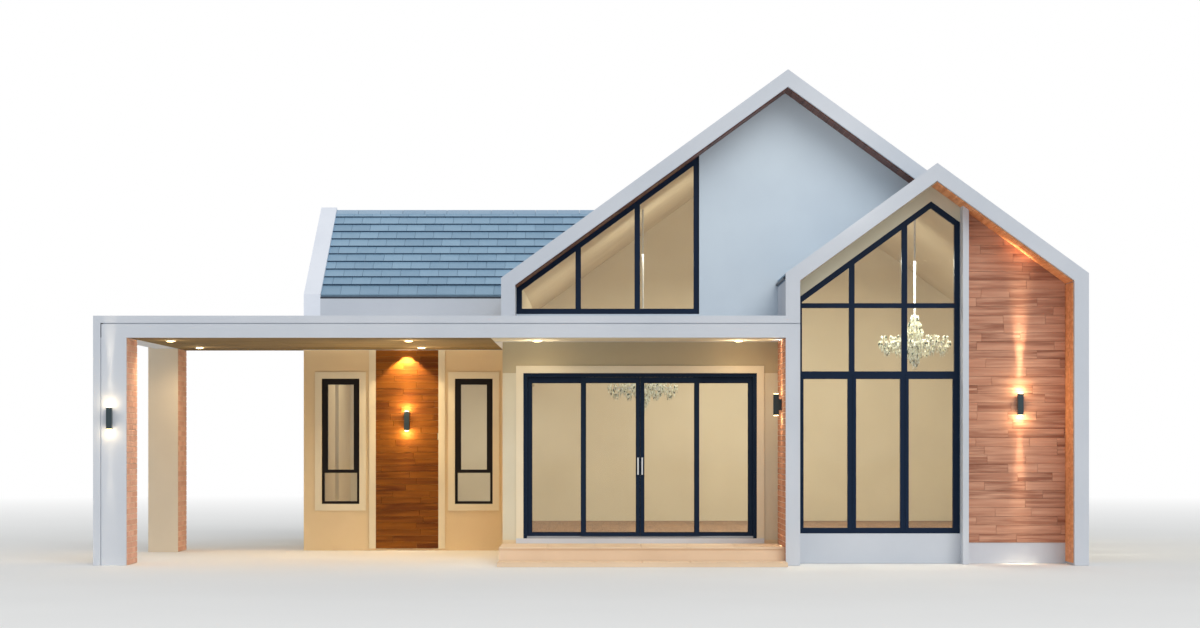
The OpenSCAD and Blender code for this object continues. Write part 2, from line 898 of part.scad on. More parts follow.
// One pane of the bay window, drawn in by a margin
module bay_pane(column, row, margin) {
    intersection() {
        polygon(bay_outline(mullion_w));
        translate([bay_columns[column] + margin, bay_rows[row][0] + margin])
            square([pane_w - 2 * margin, bay_rows[row][1] - bay_rows[row][0] - 2 * margin]);
    }
}

module bay_window_frame() {
    y0 = y_bay + window_set;
    sash_out = 12;
    color("midnightblue") {
        plate(y0, window_d) difference() {
            polygon(bay_outline(0));
            for (column = [0 : 2], row = [0 : 2]) bay_pane(column, row, 0);
        }
        plate(y0 - sash_out, window_d) for (column = [0 : 2]) difference() {
            bay_pane(column, 0, -sash_show);
            bay_pane(column, 0, sash_show);
        }
    }
}

// The gable window's outline under the main roof's left slope and part of its right one
function gable_head(x) = under_main(x);
function gable_outline(inset) = [
    [gable_x0 + inset, gable_sill + inset],
    [gable_x0 + inset, gable_head(gable_x0 + inset) - inset / cos(pitch)],
    [gable_x1 - inset, gable_head(gable_x1 - inset) - inset / cos(pitch)],
    [gable_x1 - inset, gable_sill + inset]
];
gable_pane_w = (gable_window_w - 4 * mullion_w) / 3;

module gable_pane(column) {
    intersection() {
        polygon(gable_outline(mullion_w));
        translate([gable_x0 + mullion_w + column * (gable_pane_w + mullion_w), gable_sill])
            square([gable_pane_w, ridge_h - gable_sill]);
    }
}

module gable_window_frame() {
    color("midnightblue") plate(y_gable + window_set, window_d) difference() {
        polygon(gable_outline(0));
        for (column = [0 : 2]) gable_pane(column);
    }
}

// A small window's panes: the opening sash above, the fixed pane below the middle rail
rail_z = small_sill + small_rail_up;
module upper_pane() {
    side = small_bar + small_sash;
    translate([-small_w / 2 + side, rail_z + small_sash])
        square([small_w - 2 * side, head_h - rail_z - small_bar - 2 * small_sash]);
}

module lower_pane() {
    translate([-small_w / 2 + small_bar, small_sill + small_bar])
        square([small_w - 2 * small_bar, rail_z - small_sill - small_bar]);
}

module small_window_frames() {
    color("black") for (w = small_windows) on_wall(w) plate(window_set, window_d) difference() {
        translate([-small_w / 2, small_sill]) square([small_w, head_h - small_sill]);
        upper_pane();
        lower_pane();
    }
}

module window_glass() {
    glass_in = window_set + (window_d - glass_t) / 2;
    color("lightcyan", 0.4) {
        plate(y_bay + glass_in, glass_t) {
            for (column = [0 : 2], row = [1 : 2]) bay_pane(column, row, 0);
            for (column = [0 : 2]) bay_pane(column, 0, sash_show);
        }
        plate(y_gable + glass_in, glass_t) for (column = [0 : 2]) gable_pane(column);
        for (w = small_windows) on_wall(w) plate(glass_in, glass_t) {
            upper_pane();
            lower_pane();
        }
        fixed_door_glass();
    }
}

module wood_panel() {
    color("chocolate") translate([(x_wing + x_main) / 2, 0, 0])
        block([-panel_w / 2, y_wing - panel_t, panel_foot], [panel_w / 2, y_wing, ceiling_h]);
}

// Raised plaster round a small window, outside the opening
module small_surround() {
    plate(-surround_t, surround_t) difference() {
        translate([-small_w / 2 - surround_w, small_sill - surround_w])
            square([small_w + 2 * surround_w, head_h - small_sill + 2 * surround_w]);
        translate([-small_w / 2, small_sill]) square([small_w, head_h - small_sill]);
    }
}

// Raised plaster round the sliding door, the sill under it and the strips beside the wood panel
module surrounds() {
    strip_x = (x_wing + x_main) / 2 - panel_w / 2 - surround_w;
    color("ivory") {
        for (w = surround_windows) on_wall(w) small_surround();
        plate(y_gable - surround_t, surround_t) difference() {
            translate([door_x0 - surround_w, floor_h])
                square([door_w + 2 * surround_w, head_h + surround_w - floor_h]);
            translate([door_x0, floor_h - through]) square([door_w, head_h - floor_h + through]);
        }
        block(
            [door_x0 - surround_w, y_gable - door_sill_d, porch_h],
            [door_x1 + surround_w, y_gable, floor_h]
        );
        for (side = [0, 1]) translate([side * (panel_w + surround_w), 0, 0])
            block([strip_x, y_wing - panel_t, panel_foot], [strip_x + surround_w, y_wing, ceiling_h]);
    }
}

// The sliding door: two fixed outer leaves behind two sliding leaves in the middle
leaf_room = 20;
door_y = y_gable + door_set;
slide_y = door_y + leaf_room / 2;
fixed_y = slide_y + leaf_t + leaf_room;
door_depth = leaf_room / 2 + 2 * leaf_t + leaf_room + leaf_room;
door_mid = (door_x0 + door_x1) / 2;
half_w = door_w / 2 - door_bar;
leaf_w = (half_w + stile_w) / 2;
leaf_z0 = floor_h + track_h + leaf_gap;
leaf_z1 = head_h - door_bar - leaf_gap;

module door_jambs() {
    color("midnightblue") for (x = [door_x0, door_x1 - door_bar]) {
        block([x, door_y, floor_h], [x + door_bar, door_y + door_depth, head_h]);
    }
}

module door_head() {
    color("midnightblue") block(
        [door_x0 + door_bar, door_y, head_h - door_bar],
        [door_x1 - door_bar, door_y + door_depth, head_h]
    );
}

// The sill with a low rib between the two rows of leaves
module door_track() {
    rib_w = leaf_room / 2;
    rib_y = slide_y + leaf_t + rib_w / 2;
    color("dimgray") {
        block(
            [door_x0 + door_bar, door_y, floor_h],
            [door_x1 - door_bar, door_y + door_depth, floor_h + track_h]
        );
        block(
            [door_x0 + door_bar, rib_y, floor_h],
            [door_x1 - door_bar, rib_y + rib_w, floor_h + track_h + leaf_gap]
        );
    }
}

// A leaf's glazed opening in the flat, from its left edge at x with the width of each stile
module leaf_pane(x, left_w, right_w) {
    translate([x + left_w, leaf_z0 + bottom_rail])
        square([leaf_w - left_w - right_w, leaf_z1 - leaf_z0 - bottom_rail - top_rail]);
}

module leaf(x, y, left_w, right_w) {
    plate(y, leaf_t) difference() {
        translate([x, leaf_z0]) square([leaf_w, leaf_z1 - leaf_z0]);
        leaf_pane(x, left_w, right_w);
    }
}

fixed_left_x = door_x0 + door_bar;
fixed_right_x = door_x1 - door_bar - leaf_w;
meet = leaf_gap / 2;
left_x = door_mid - meet - leaf_w;
right_x = door_mid + meet;

// The fixed leaves fill the height between the sill and the head
module fixed_leaf(x) {
    plate(fixed_y, leaf_t) difference() {
        translate([x, floor_h + track_h]) square([leaf_w, head_h - door_bar - floor_h - track_h]);
        leaf_pane(x, stile_w, stile_w);
    }
}

module fixed_leaves() {
    color("midnightblue") {
        fixed_leaf(fixed_left_x);
        fixed_leaf(fixed_right_x);
    }
}

module left_leaf() {
    color("midnightblue") leaf(left_x, slide_y, stile_w, meeting_w);
}

module right_leaf() {
    color("midnightblue") leaf(right_x, slide_y, meeting_w, stile_w);
}

module left_glass() {
    color("lightcyan", 0.4) plate(slide_y + (leaf_t - glass_t) / 2, glass_t)
        leaf_pane(left_x, stile_w, meeting_w);
}

module right_glass() {
    color("lightcyan", 0.4) plate(slide_y + (leaf_t - glass_t) / 2, glass_t)
        leaf_pane(right_x, meeting_w, stile_w);
}

// A pull handle: a flat bar on two posts in the middle of a meeting stile
module handle(x) {
    bar_w = 22;
    bar_t = 10;
    post_l = 22;
    z0 = floor_h + handle_up - handle_l / 2;
    block([x - bar_w / 2, slide_y - post_l - bar_t, z0], [x + bar_w / 2, slide_y - post_l, z0 + handle_l]);
    for (z = [z0 + bar_w, z0 + handle_l - bar_w]) {
        translate([x, slide_y, z]) rotate([90, 0, 0]) cylinder(h = post_l, d = bar_w / 2, $fn = 24);
    }
}

module left_handle() {
    color("silver") handle(door_mid - meet - meeting_w / 2);
}

module right_handle() {
    color("silver") handle(door_mid + meet + meeting_w / 2);
}

// Glass of the fixed leaves, part of the house's fixed glass
module fixed_door_glass() {
    plate(fixed_y + (leaf_t - glass_t) / 2, glass_t) {
        leaf_pane(fixed_left_x, stile_w, stile_w);
        leaf_pane(fixed_right_x, stile_w, stile_w);
    }
}

// A wall lamp that shines up and down: a slim box with its back plate on the wall
module wall_lamp(place, middle) {
    on_wall(place) translate([0, 0, middle]) {
        block([-lamp_w / 2, -lamp_off - lamp_d, -lamp_l / 2], [lamp_w / 2, -lamp_off, lamp_l / 2]);
        block([-lamp_w / 3, -lamp_off, -lamp_l / 4], [lamp_w / 3, 0, lamp_l / 4]);
    }
}

module wall_lamps() {
    column_x = x_left + column_w / 2 + lamp_w / 10;
    board_x = (fin_x1 + x_right - frame_t) / 2 + lamp_right;
    color("darkslategray") {
        wall_lamp([column_x, y_front, 0], carport_lamp_h);
        wall_lamp([(x_wing + x_main) / 2, y_wing - panel_t, 0], carport_lamp_h);
        wall_lamp([x_bay, (y_front + y_gable) / 2, -90], front_lamp_h);
        wall_lamp([board_x, y_bay, 0], front_lamp_h);
    }
}

// A hanging lamp: a rod from the roof, a slim glass body and six arms with a cup and a drop each
module hanging_lamp(x, y, foot_h) {
    rod_d = 36;
    arm_h = foot_h + hang_l / 3;
    cup_x = hang_w / 2 - rod_d;
    translate([x, y, 0]) {
        translate([0, 0, foot_h]) cylinder(h = hang_l / 3, d1 = rod_d * 2, d2 = rod_d * 5, $fn = 12);
        translate([0, 0, arm_h]) cylinder(h = rod_d, d = rod_d * 5, $fn = 12);
        translate([0, 0, arm_h + rod_d]) cylinder(h = hang_l / 3, d1 = rod_d * 4, d2 = rod_d * 2, $fn = 12);
        for (turn = [0 : 60 : 300]) rotate([0, 0, turn]) {
            block([0, -rod_d / 4, arm_h], [cup_x, rod_d / 4, arm_h + rod_d / 2]);
            translate([cup_x, 0, arm_h - rod_d * 2])
                cylinder(h = rod_d * 4, d1 = rod_d, d2 = rod_d * 2, $fn = 12);
        }
    }
    intersection() {
        translate([x, y, arm_h]) cylinder(h = ridge_h - arm_h, d = rod_d, $fn = 12);
        under_main_roof(slab_v + bed, y - rod_d, y + rod_d);
    }
}

module hanging_lamps() {
    color("ivory") {
        hanging_lamp(door_mid + hang_right, y_gable + door_hang_in, door_hang_h);
        hanging_lamp(x_bay_ridge, y_gable + bay_hang_in, bay_hang_h);
    }
}

floor_slab();
room_floor();
porch_plinth();
porch_step();
columns();
brick_facing();
carport_deck();
carport_ceiling();
carport_roof();
downlights();
wing_front_wall();
wing_end_wall();
wing_back_wall();
wing_roof_front();
wing_roof_back();
left_wall();
wing_lintel();
right_wall();
back_wall();
porch_piers();
porch_lintel();
gable_wall();
main_legs();
main_verge_left();
main_verge_right();
main_roof_left();
main_roof_right();
bay_legs();
bay_verge_left();
bay_verge_right();
bay_roof_left();
bay_roof_right();
roof_tiles();
ridge_caps();
gutters();
bay_soffit();
gable_soffit();
bay_plinth();
bay_head_band();
window_fin();
wood_wall();
bay_window_frame();
gable_window_frame();
small_window_frames();
window_glass();
wood_panel();
surrounds();
door_jambs();
door_head();
door_track();
fixed_leaves();
left_leaf();
right_leaf();
left_glass();
right_glass();
left_handle();
right_handle();
wall_lamps();
hanging_lamps();
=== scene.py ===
# %% [markdown]
# # Dressing a bungalow
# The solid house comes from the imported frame: walls, roofs, frames, glass and the sliding door. This
# lesson gives it what shows from close by: tiles, bricks, boards, lamps and finishes. Each step says what
# the piece is on the real house and why it is made this way. All sizes are in metres, with X to the right
# along the front, Y to the back and Z up.

# %% Load the frame
import json
import math
import random
from contextlib import contextmanager

import bpy
from mathutils import Matrix, Vector


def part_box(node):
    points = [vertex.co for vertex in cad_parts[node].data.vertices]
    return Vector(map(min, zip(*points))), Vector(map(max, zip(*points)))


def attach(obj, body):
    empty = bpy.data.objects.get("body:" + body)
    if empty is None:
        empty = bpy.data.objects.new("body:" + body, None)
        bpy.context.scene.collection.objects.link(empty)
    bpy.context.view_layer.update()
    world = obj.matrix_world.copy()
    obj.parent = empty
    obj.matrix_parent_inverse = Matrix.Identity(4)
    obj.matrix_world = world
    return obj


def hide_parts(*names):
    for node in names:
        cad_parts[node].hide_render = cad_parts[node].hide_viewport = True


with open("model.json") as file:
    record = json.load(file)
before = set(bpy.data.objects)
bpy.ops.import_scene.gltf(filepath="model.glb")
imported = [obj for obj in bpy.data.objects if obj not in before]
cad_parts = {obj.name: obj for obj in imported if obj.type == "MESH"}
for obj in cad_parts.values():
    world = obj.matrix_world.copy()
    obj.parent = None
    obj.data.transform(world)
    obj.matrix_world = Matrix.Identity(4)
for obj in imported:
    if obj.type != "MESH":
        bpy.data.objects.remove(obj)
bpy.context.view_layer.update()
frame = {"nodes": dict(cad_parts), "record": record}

# %% [markdown]
# ## Tools for shaping by hand
# Every piece starts as a primitive and is then shaped. The small helpers below say the usual sequence once:
# select only this piece, enter edit mode, run an operator, come back. A finished piece keeps its place in
# its mesh, so the object itself sits at the origin, as the frame's own nodes do.

# %% Select and place a piece
def only(piece):
    """Selects one piece and makes it the active one."""
    bpy.ops.object.select_all(action="DESELECT")
    piece.select_set(True)
    bpy.context.view_layer.objects.active = piece


def keep_place(piece):
    """Moves place, turn and size from the object into its mesh."""
    only(piece)
    bpy.ops.object.transform_apply(location=True, rotation=True, scale=True)


def put(piece, place, turn=(0, 0, 0)):
    """Moves and turns a piece."""
    piece.location, piece.rotation_euler = place, turn
    keep_place(piece)
    return piece


# %% Start from a primitive
def as_made(name):
    """Names the primitive that was just added."""
    piece = bpy.context.object
    piece.name = piece.data.name = name
    keep_place(piece)
    return piece


def start_box(name, low, high):
    """A cube primitive set between two corners."""
    size = [b - a for a, b in zip(low, high)]
    centre = [(a + b) / 2 for a, b in zip(low, high)]
    bpy.ops.object.select_all(action="DESELECT")
    bpy.ops.mesh.primitive_cube_add(size=1, location=centre, scale=size)
    return as_made(name)


def start_round(name, foot, height, width, top_width=None, sides=24, turn=(0, 0, 0)):
    """A cylinder or cone primitive that stands on foot."""
    bpy.ops.object.select_all(action="DESELECT")
    bpy.ops.mesh.primitive_cone_add(
        vertices=sides, radius1=width / 2, radius2=(width if top_width is None else top_width) / 2,
        depth=height, location=(0, 0, height / 2))
    return put(as_made(name), foot, turn)


# %% Finish with modifiers
def shape(piece, kind, **settings):
    """Adds one modifier and applies it."""
    only(piece)
    modifier = piece.modifiers.new(kind, kind)
    for key, value in settings.items():
        setattr(modifier, key, value)
    bpy.ops.object.modifier_apply(modifier=modifier.name)
    return piece


def soften(piece, width, segments=1):
    """Takes the sharp edge off a piece."""
    return shape(piece, "BEVEL", width=width, segments=segments, limit_method="ANGLE",
                 angle_limit=math.radians(40))


def eased_box(name, low, high, width, segments=1):
    """A box without sharp edges."""
    return soften(start_box(name, low, high), width, segments)


def repeat(piece, count, step):
    """Repeats a piece in a row, each one step further."""
    return shape(piece, "ARRAY", count=count, use_relative_offset=False, use_constant_offset=True,
                 constant_offset_displace=step)


# %% Work in edit mode
@contextmanager
def editing(piece, faces=None):
    """Edit mode on the whole piece, or on the faces whose normal passes a test."""
    only(piece)
    bpy.ops.object.mode_set(mode="EDIT")
    bpy.ops.mesh.select_all(action="DESELECT" if faces else "SELECT")
    if faces:
        bpy.ops.object.mode_set(mode="OBJECT")
        for face in piece.data.polygons:
            face.select = faces(face.normal)
        bpy.ops.object.mode_set(mode="EDIT")
        bpy.ops.mesh.select_mode(type="FACE")
    yield
    bpy.ops.object.mode_set(mode="OBJECT")


def cut_away(piece, point, normal):
    """Bisects a piece, clears the side that the normal points to and closes each cut solid."""
    with editing(piece):
        bpy.ops.mesh.bisect(plane_co=point, plane_no=normal, clear_outer=True)
        bpy.ops.mesh.select_all(action="SELECT")
        bpy.ops.mesh.fill_holes(sides=0)
    return piece


# %% Copy, join and set down
def copy_of(piece, name, move=(0, 0, 0)):
    """A copy with a mesh of its own, moved."""
    other = piece.copy()
    other.data = piece.data.copy()
    other.name = other.data.name = name
    bpy.context.scene.collection.objects.link(other)
    return put(other, move)


def joined(name, pieces):
    """Joins pieces into one."""
    bpy.ops.object.select_all(action="DESELECT")
    for piece in pieces:
        piece.select_set(True)
    bpy.context.view_layer.objects.active = pieces[0]
    if len(pieces) > 1:
        bpy.ops.object.join()
    pieces[0].name = pieces[0].data.name = name
    return pieces[0]


def set_down(piece, origin, across, up):
    """Puts a piece drawn flat, X across and Y up, on a slope or a wall."""
    across, up = Vector(across).normalized(), Vector(up).normalized()
    out = across.cross(up)
    piece.matrix_world = Matrix.Translation(origin) @ Matrix((across, up, out)).transposed().to_4x4()
    keep_place(piece)
    return piece


# %% Give tones, a material and a place in the table
def tone_each(piece, faces_each, seed):
    """Gives each tile, brick or board of a piece its own tone between 0 and 1."""
    draw = random.Random(seed)
    tones = piece.data.attributes.new("tone", "FLOAT", "FACE")
    count = len(piece.data.polygons)
    each = [draw.random() for _ in range(count // faces_each + 1)]
    tones.data.foreach_set("value", [each[k // faces_each] for k in range(count)])


triangles = []


def finish_piece(piece, slot, material, *stands_for, body="root"):
    """Gives a piece its material and says what it rides on and stands for."""
    piece.data.materials.clear()
    piece.data.materials.append(material)
    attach(piece, body)
    if stands_for:
        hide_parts(*stands_for)
    piece.data.calc_loop_triangles()
    triangles.append(len(piece.data.loop_triangles))
    print(piece.name, triangles[-1], "triangles")


# %% [markdown]
# ## Finishes
# Paint, brick, wood and tile are never one flat colour. Each finish below starts from a colour as the eye
# sees it, varies it a little with noise that reads Object coordinates, and gets a bump of its own. Pieces
# laid one by one carry a `tone` on their faces, so that each tile or board can be a shade lighter or darker.

# %% Colours
def paint(red, green, blue):
    """A colour from screen values, as the shader wants it."""
    def linear(v):
        v /= 255
        return v / 12.92 if v <= 0.04045 else ((v + 0.055) / 1.055) ** 2.4
    return (linear(red), linear(green), linear(blue), 1.0)


def dimmed(colour, factor):
    """A colour made darker, or lighter with a factor over 1."""
    return tuple(min(1.0, c * factor) for c in paint(*colour)[:3]) + (1.0,)


# %% Nodes
def feed(socket, value):
    """Links a socket to another one, or gives it a value."""
    if isinstance(value, bpy.types.NodeSocket):
        socket.id_data.links.new(value, socket)
    else:
        socket.default_value = value


def add(near, kind, inputs=None, **settings):
    """Adds a node to the tree that near is in, sets it and feeds its inputs."""
    node = near.id_data.nodes.new(kind)
    for key, value in settings.items():
        setattr(node, key, value)
    for socket, value in (inputs or {}).items():
        feed(node.inputs[socket], value)
    return node


def start_finish(name, roughness, **sockets):
    """A material with its shader and the piece's own coordinates."""
    material = bpy.data.materials.new(name)
    material.use_nodes = True
    shader = material.node_tree.nodes["Principled BSDF"]
    shader.inputs["Roughness"].default_value = roughness
    for socket, value in sockets.items():
        shader.inputs[socket.replace("_", " ")].default_value = value
    return material, shader, add(shader, "ShaderNodeTexCoord").outputs["Object"]


def maths(operation, *values):
    """One maths node on a socket and other values."""
    return add(values[0], "ShaderNodeMath", dict(enumerate(values)), operation=operation).outputs[0]


def own(near, name):
    """A value that the faces carry."""
    return add(near, "ShaderNodeAttribute", attribute_name=name).outputs["Fac"]


# %% Noise, mixing and bump
def noise(place, scale, detail=3.0, stretch=(1, 1, 1)):
    """Noise on the piece, finer for a larger scale and drawn out where stretch is small."""
    mapped = add(place, "ShaderNodeMapping", {"Vector": place, "Scale": stretch}).outputs["Vector"]
    cloud = add(place, "ShaderNodeTexNoise", {"Vector": mapped, "Scale": scale, "Detail": detail})
    return cloud.outputs["Fac"]


def blend(factor, *colours):
    """Mixes two colours by a factor. Three numbers are screen values."""
    first, second = [paint(*c) if isinstance(c, tuple) and len(c) == 3 else c for c in colours]
    return add(factor, "ShaderNodeMix", {0: factor, 6: first, 7: second}, data_type="RGBA").outputs[2]


def spread(value, low, high):
    """Stretches a value's middle range from low..high to 0..1."""
    node = add(value, "ShaderNodeMapRange", {"Value": value, "From Min": low, "From Max": high})
    return node.outputs["Result"]


def coat(shader, colour, height, distance, strength):
    """Gives the shader its colour and a bump from a height."""
    node = add(shader, "ShaderNodeBump", {"Height": height, "Distance": distance, "Strength": strength})
    feed(shader.inputs["Base Color"], colour)
    feed(shader.inputs["Normal"], node.outputs["Normal"])


# %% [markdown]
# ### Plaster, concrete and mortar
# The walls are trowelled and painted, so their colour is faintly cloudy and their surface has a fine grain.
# Some walls have two paints. A second mesh for the second paint would need a seam in the wall, so one finish
# holds both, and a plane in the house's own space decides between them. The painted edge stays clean.

# %% Painted plaster, concrete, mortar
def plaster(name, colour, shade, roughness=0.75, grain=0.0012, other=None, past=None):
    """Trowelled and painted plaster, faintly cloudy. Past a line on the wall it may be another paint."""
    material, shader, place = start_finish(name, roughness)
    cloud = spread(noise(place, 0.9, 5.0), 0.35, 0.65)
    layer = blend(cloud, colour, shade)
    if other:
        layer = blend(past(place), layer, blend(cloud, *other))
    coat(shader, layer, noise(place, 60.0, 4.0), grain, 0.35)
    return material


def beyond(normal, limit):
    """A test for plaster: one past a plane in the house's own space, with a clean painted edge."""
    def test(place):
        along = add(place, "ShaderNodeVectorMath", {0: place, 1: normal}, operation="DOT_PRODUCT")
        return maths("GREATER_THAN", along.outputs["Value"], limit)
    return test


def both(first, second, operation="MINIMUM"):
    """Two tests as one that wants both of them."""
    return lambda place: maths(operation, first(place), second(place))


def either(first, second):
    """Two tests as one that wants either of them."""
    return both(first, second, "MAXIMUM")


WHITE, BRIGHT = ((204, 209, 217), (197, 203, 212)), ((238, 242, 250), (231, 236, 245))
CREAM, TRIM = ((228, 206, 167), (221, 198, 158)), ((230, 220, 194), (223, 212, 185))
# The second colour on the next line is for the porch lintel. It is the porch paint darkened as painted shade
# under the ceiling.
PORCH, LINTEL_SHADE = ((214, 208, 186), (206, 199, 176)), ((186, 174, 144), (178, 166, 136))
# The second colour on the next line is painted warm lamplight for the rear column.
ROOM, LAMPLIT_CREAM = ((222, 210, 182), (214, 201, 172)), ((224, 211, 190), (216, 203, 182))
BLUE, DECK = ((204, 217, 228), (197, 210, 222)), ((132, 156, 178), (122, 146, 168))
white_plaster = plaster("white_plaster", *WHITE)
cream_plaster = plaster("cream_plaster", *PORCH)
trim_paint = plaster("trim_paint", *TRIM, 0.6, 0.0004)
concrete = plaster("concrete", (206, 196, 180), (194, 184, 168), 0.8, 0.002)
paving = plaster("paving", (234, 208, 178), (224, 197, 166), 0.65, 0.001)
mortar = plaster("mortar", (240, 216, 196), (230, 205, 184), 0.95, 0.003)

# %% [markdown]
# ### Brick, tile and board
# A brick or a tile is fired, so its colour differs from one to the next and in small spots. A board shows
# long grain. One brick texture over a whole wall could draw them, but the pieces are real here, so each
# carries its own tone, and the noise of a board is drawn out along its length. Only the floor behind the
# glass, which is seen at a flat angle, gets its boards from a texture.

# %% Brick, tile and board
def toned(name, dark, light, roughness, grain, spots=None, butt_shade=None):
    """A finish for pieces laid one by one, each with its own tone. A butt edge may carry painted shadow."""
    material, shader, place = start_finish(name, roughness)
    cloud = maths("ADD", own(place, "tone"), noise(place, grain, 6.0))
    colour = blend(spread(cloud, 0.35, 1.65), dark, light)
    if spots:
        colour = blend(spread(noise(place, grain * 3, 4.0), 0.52, 0.62), colour, spots)
    if butt_shade:
        colour = blend(own(place, "butt_shade"), colour, butt_shade)
    coat(shader, colour, noise(place, grain * 5, 5.0), 0.0015, 0.5)
    return material


def timber(name, dark, middle, light, along, roughness=0.5, gloss=0.3, laid=False):
    """Oiled boards with grain along the board and a tone for each, modelled or laid out as a floor."""
    material, shader, place = start_finish(name, roughness, Specular_IOR_Level=gloss)
    stretch = [1.0, 1.0, 1.0]
    stretch[along] = 0.06
    tone = own(place, "tone")
    if laid:
        turned = add(place, "ShaderNodeMapping", {"Vector": place, "Rotation": (0, 0, math.pi / 2)})
        floor = add(place, "ShaderNodeTexBrick", {
            "Vector": turned.outputs["Vector"], "Color1": (0, 0, 0, 1), "Color2": (1, 1, 1, 1),
            "Mortar": (0, 0, 0, 1), "Scale": 1.0, "Mortar Size": 0.0015, "Brick Width": 1.4,
            "Row Height": 0.14}, offset=0.37)
        tone = floor.outputs["Color"]
    shift = add(place, "ShaderNodeCombineXYZ", {k: maths("MULTIPLY", tone, 9.0 + k) for k in range(3)})
    moved = add(place, "ShaderNodeVectorMath", {0: place, 1: shift.outputs[0]}, operation="ADD")
    grain = noise(moved.outputs[0], 26.0, 6.0, stretch)
    streak = noise(moved.outputs[0], 7.0, 3.0, stretch)
    colour = blend(spread(grain, 0.38, 0.68), blend(tone, dark, middle), light)
    colour = blend(spread(streak, 0.58, 0.74), colour, dark)
    if laid:
        colour = blend(floor.outputs["Fac"], colour, dimmed(dark, 0.3))
    coat(shader, colour, grain, 0.001, 0.5)
    return material


brick = toned("brick", (216, 162, 138), (244, 200, 178), 0.85, 14.0, (230, 178, 154))
# This darker brick is painted shade: the bay leg's face looks away from the light, while the columns' bricks
# are lit.
brick_painted_shade = toned("brick_painted_shade", (184, 120, 90), (216, 158, 126), 0.85, 14.0, (198, 138, 108))
# The dark blue on the tiles' butt faces is painted shadow, the dark line under each course.
roof_tile = toned("roof_tile", (124, 158, 184), (142, 176, 201), 0.5, 6.0, butt_shade=(26, 58, 86))
cap_tile = toned("cap_tile", (140, 168, 192), (156, 182, 204), 0.5, 6.0)
red_boards = timber("red_boards", (142, 90, 68), (200, 144, 116), (210, 160, 132), 0)
panel_boards = timber("panel_boards", (92, 44, 8), (128, 74, 16), (142, 86, 26), 0, 0.6, 0.15)
# These orange boards are warm wood brightened with painted lamplight; the left lining of the bay keeps the
# pale boards.
lamplit_boards = timber("lamplit_boards", (214, 134, 82), (234, 154, 98), (244, 172, 118), 1)
dark_boards = timber("dark_boards", (78, 44, 36), (108, 62, 48), (122, 76, 60), 1)
ceiling_boards = timber("ceiling_boards", (108, 90, 58), (128, 108, 74), (142, 122, 88), 0, 0.8, 0.05)
pale_boards = timber("pale_boards", (182, 164, 142), (200, 182, 158), (208, 192, 170), 1)
floor_boards = timber("floor_boards", (116, 82, 56), (140, 102, 70), (156, 118, 84), 1, laid=True)

# %% [markdown]
# ### Metal, glass and light
# Frames are powder coated: one colour, hardly worn, with a very fine texture. A pane could be solid glass,
# but that would bend the light and darken the rooms. So it mixes a see-through surface with gloss that grows
# at a flat angle, and a slight wave keeps its reflection from being a perfect mirror.

# %% Metal, glass and light
def coated(name, colour, roughness, metallic=0.0, gloss=0.5):
    """Powder coated or bare metal, with a very fine texture."""
    material, shader, place = start_finish(name, roughness, Metallic=metallic, Specular_IOR_Level=gloss)
    worn = blend(spread(noise(place, 2.0, 4.0), 0.4, 0.7), colour, dimmed(colour, 1.12))
    coat(shader, worn, noise(place, 400.0, 2.0), 0.0002, 0.3)
    return material


navy_frame = coated("navy_frame", (7, 29, 54), 0.38, gloss=0.15)
black_frame = coated("black_frame", (22, 17, 15), 0.4, gloss=0.15)
gutter_metal = coated("gutter_metal", (16, 26, 44), 0.4)
track_metal = coated("track_metal", (150, 152, 156), 0.35, 0.9)
handle_steel = coated("handle_steel", (206, 208, 210), 0.25, 1.0)
lamp_body = coated("lamp_body", (44, 60, 66), 0.35, 0.3)
rubber = coated("rubber", (14, 16, 20), 0.7, gloss=0.1)


def mixed(factor, first, second, output):
    """Mixes two shaders by a factor, into the tree's output."""
    mix = add(factor, "ShaderNodeMixShader", {0: factor, 1: first.outputs[0], 2: second.outputs[0]})
    feed(factor.id_data.nodes[output].inputs["Surface"], mix.outputs[0])


# A pane shows the room behind it and the sky in front of it.
window_pane, shader, place = start_finish("window_pane", 0.02, IOR=1.45, Base_Color=(0.85, 0.92, 0.92, 1.0))
wave = noise(place, 0.9, 1.0)
see = add(place, "ShaderNodeBsdfTransparent", {
    "Color": blend(wave, (0.95, 0.97, 0.96, 1.0), (0.92, 0.95, 0.95, 1.0))})
drawn = add(place, "ShaderNodeBump", {"Strength": 0.15, "Distance": 0.01, "Height": wave}).outputs[0]
gloss = add(place, "ShaderNodeBsdfGlossy", {
    "Color": (0.9, 0.95, 1.0, 1.0), "Roughness": 0.02, "Normal": drawn})
facing = add(place, "ShaderNodeLayerWeight", {"Blend": 0.5, "Normal": drawn}).outputs["Facing"]
mixed(maths("MULTIPLY_ADD", maths("POWER", facing, 5.0), 0.92, 0.035), see, gloss, "Material Output")

# A lens is lit from inside.
lamp_lens, shader, place = start_finish("lamp_lens", 0.3, Emission_Strength=9.0)
light = blend(noise(place, 30.0, 2.0), (255, 226, 168), dimmed((255, 226, 168), 0.94))
feed(shader.inputs["Base Color"], light)
feed(shader.inputs["Emission Color"], light)
print("materials in the file so far", len(bpy.data.materials))

# %% [markdown]
# ## Roof tiles
# The roofs carry flat interlocking tiles, laid from the eave up in courses 262 mm apart, each course
# shifted half a tile. A texture could draw the joints, but the steps between the courses catch the light,
# so the tiles are real. One tile is shaped, repeated with arrays along the eave and up the slope, laid on
# its slope and then trimmed by planes where the roof ends.

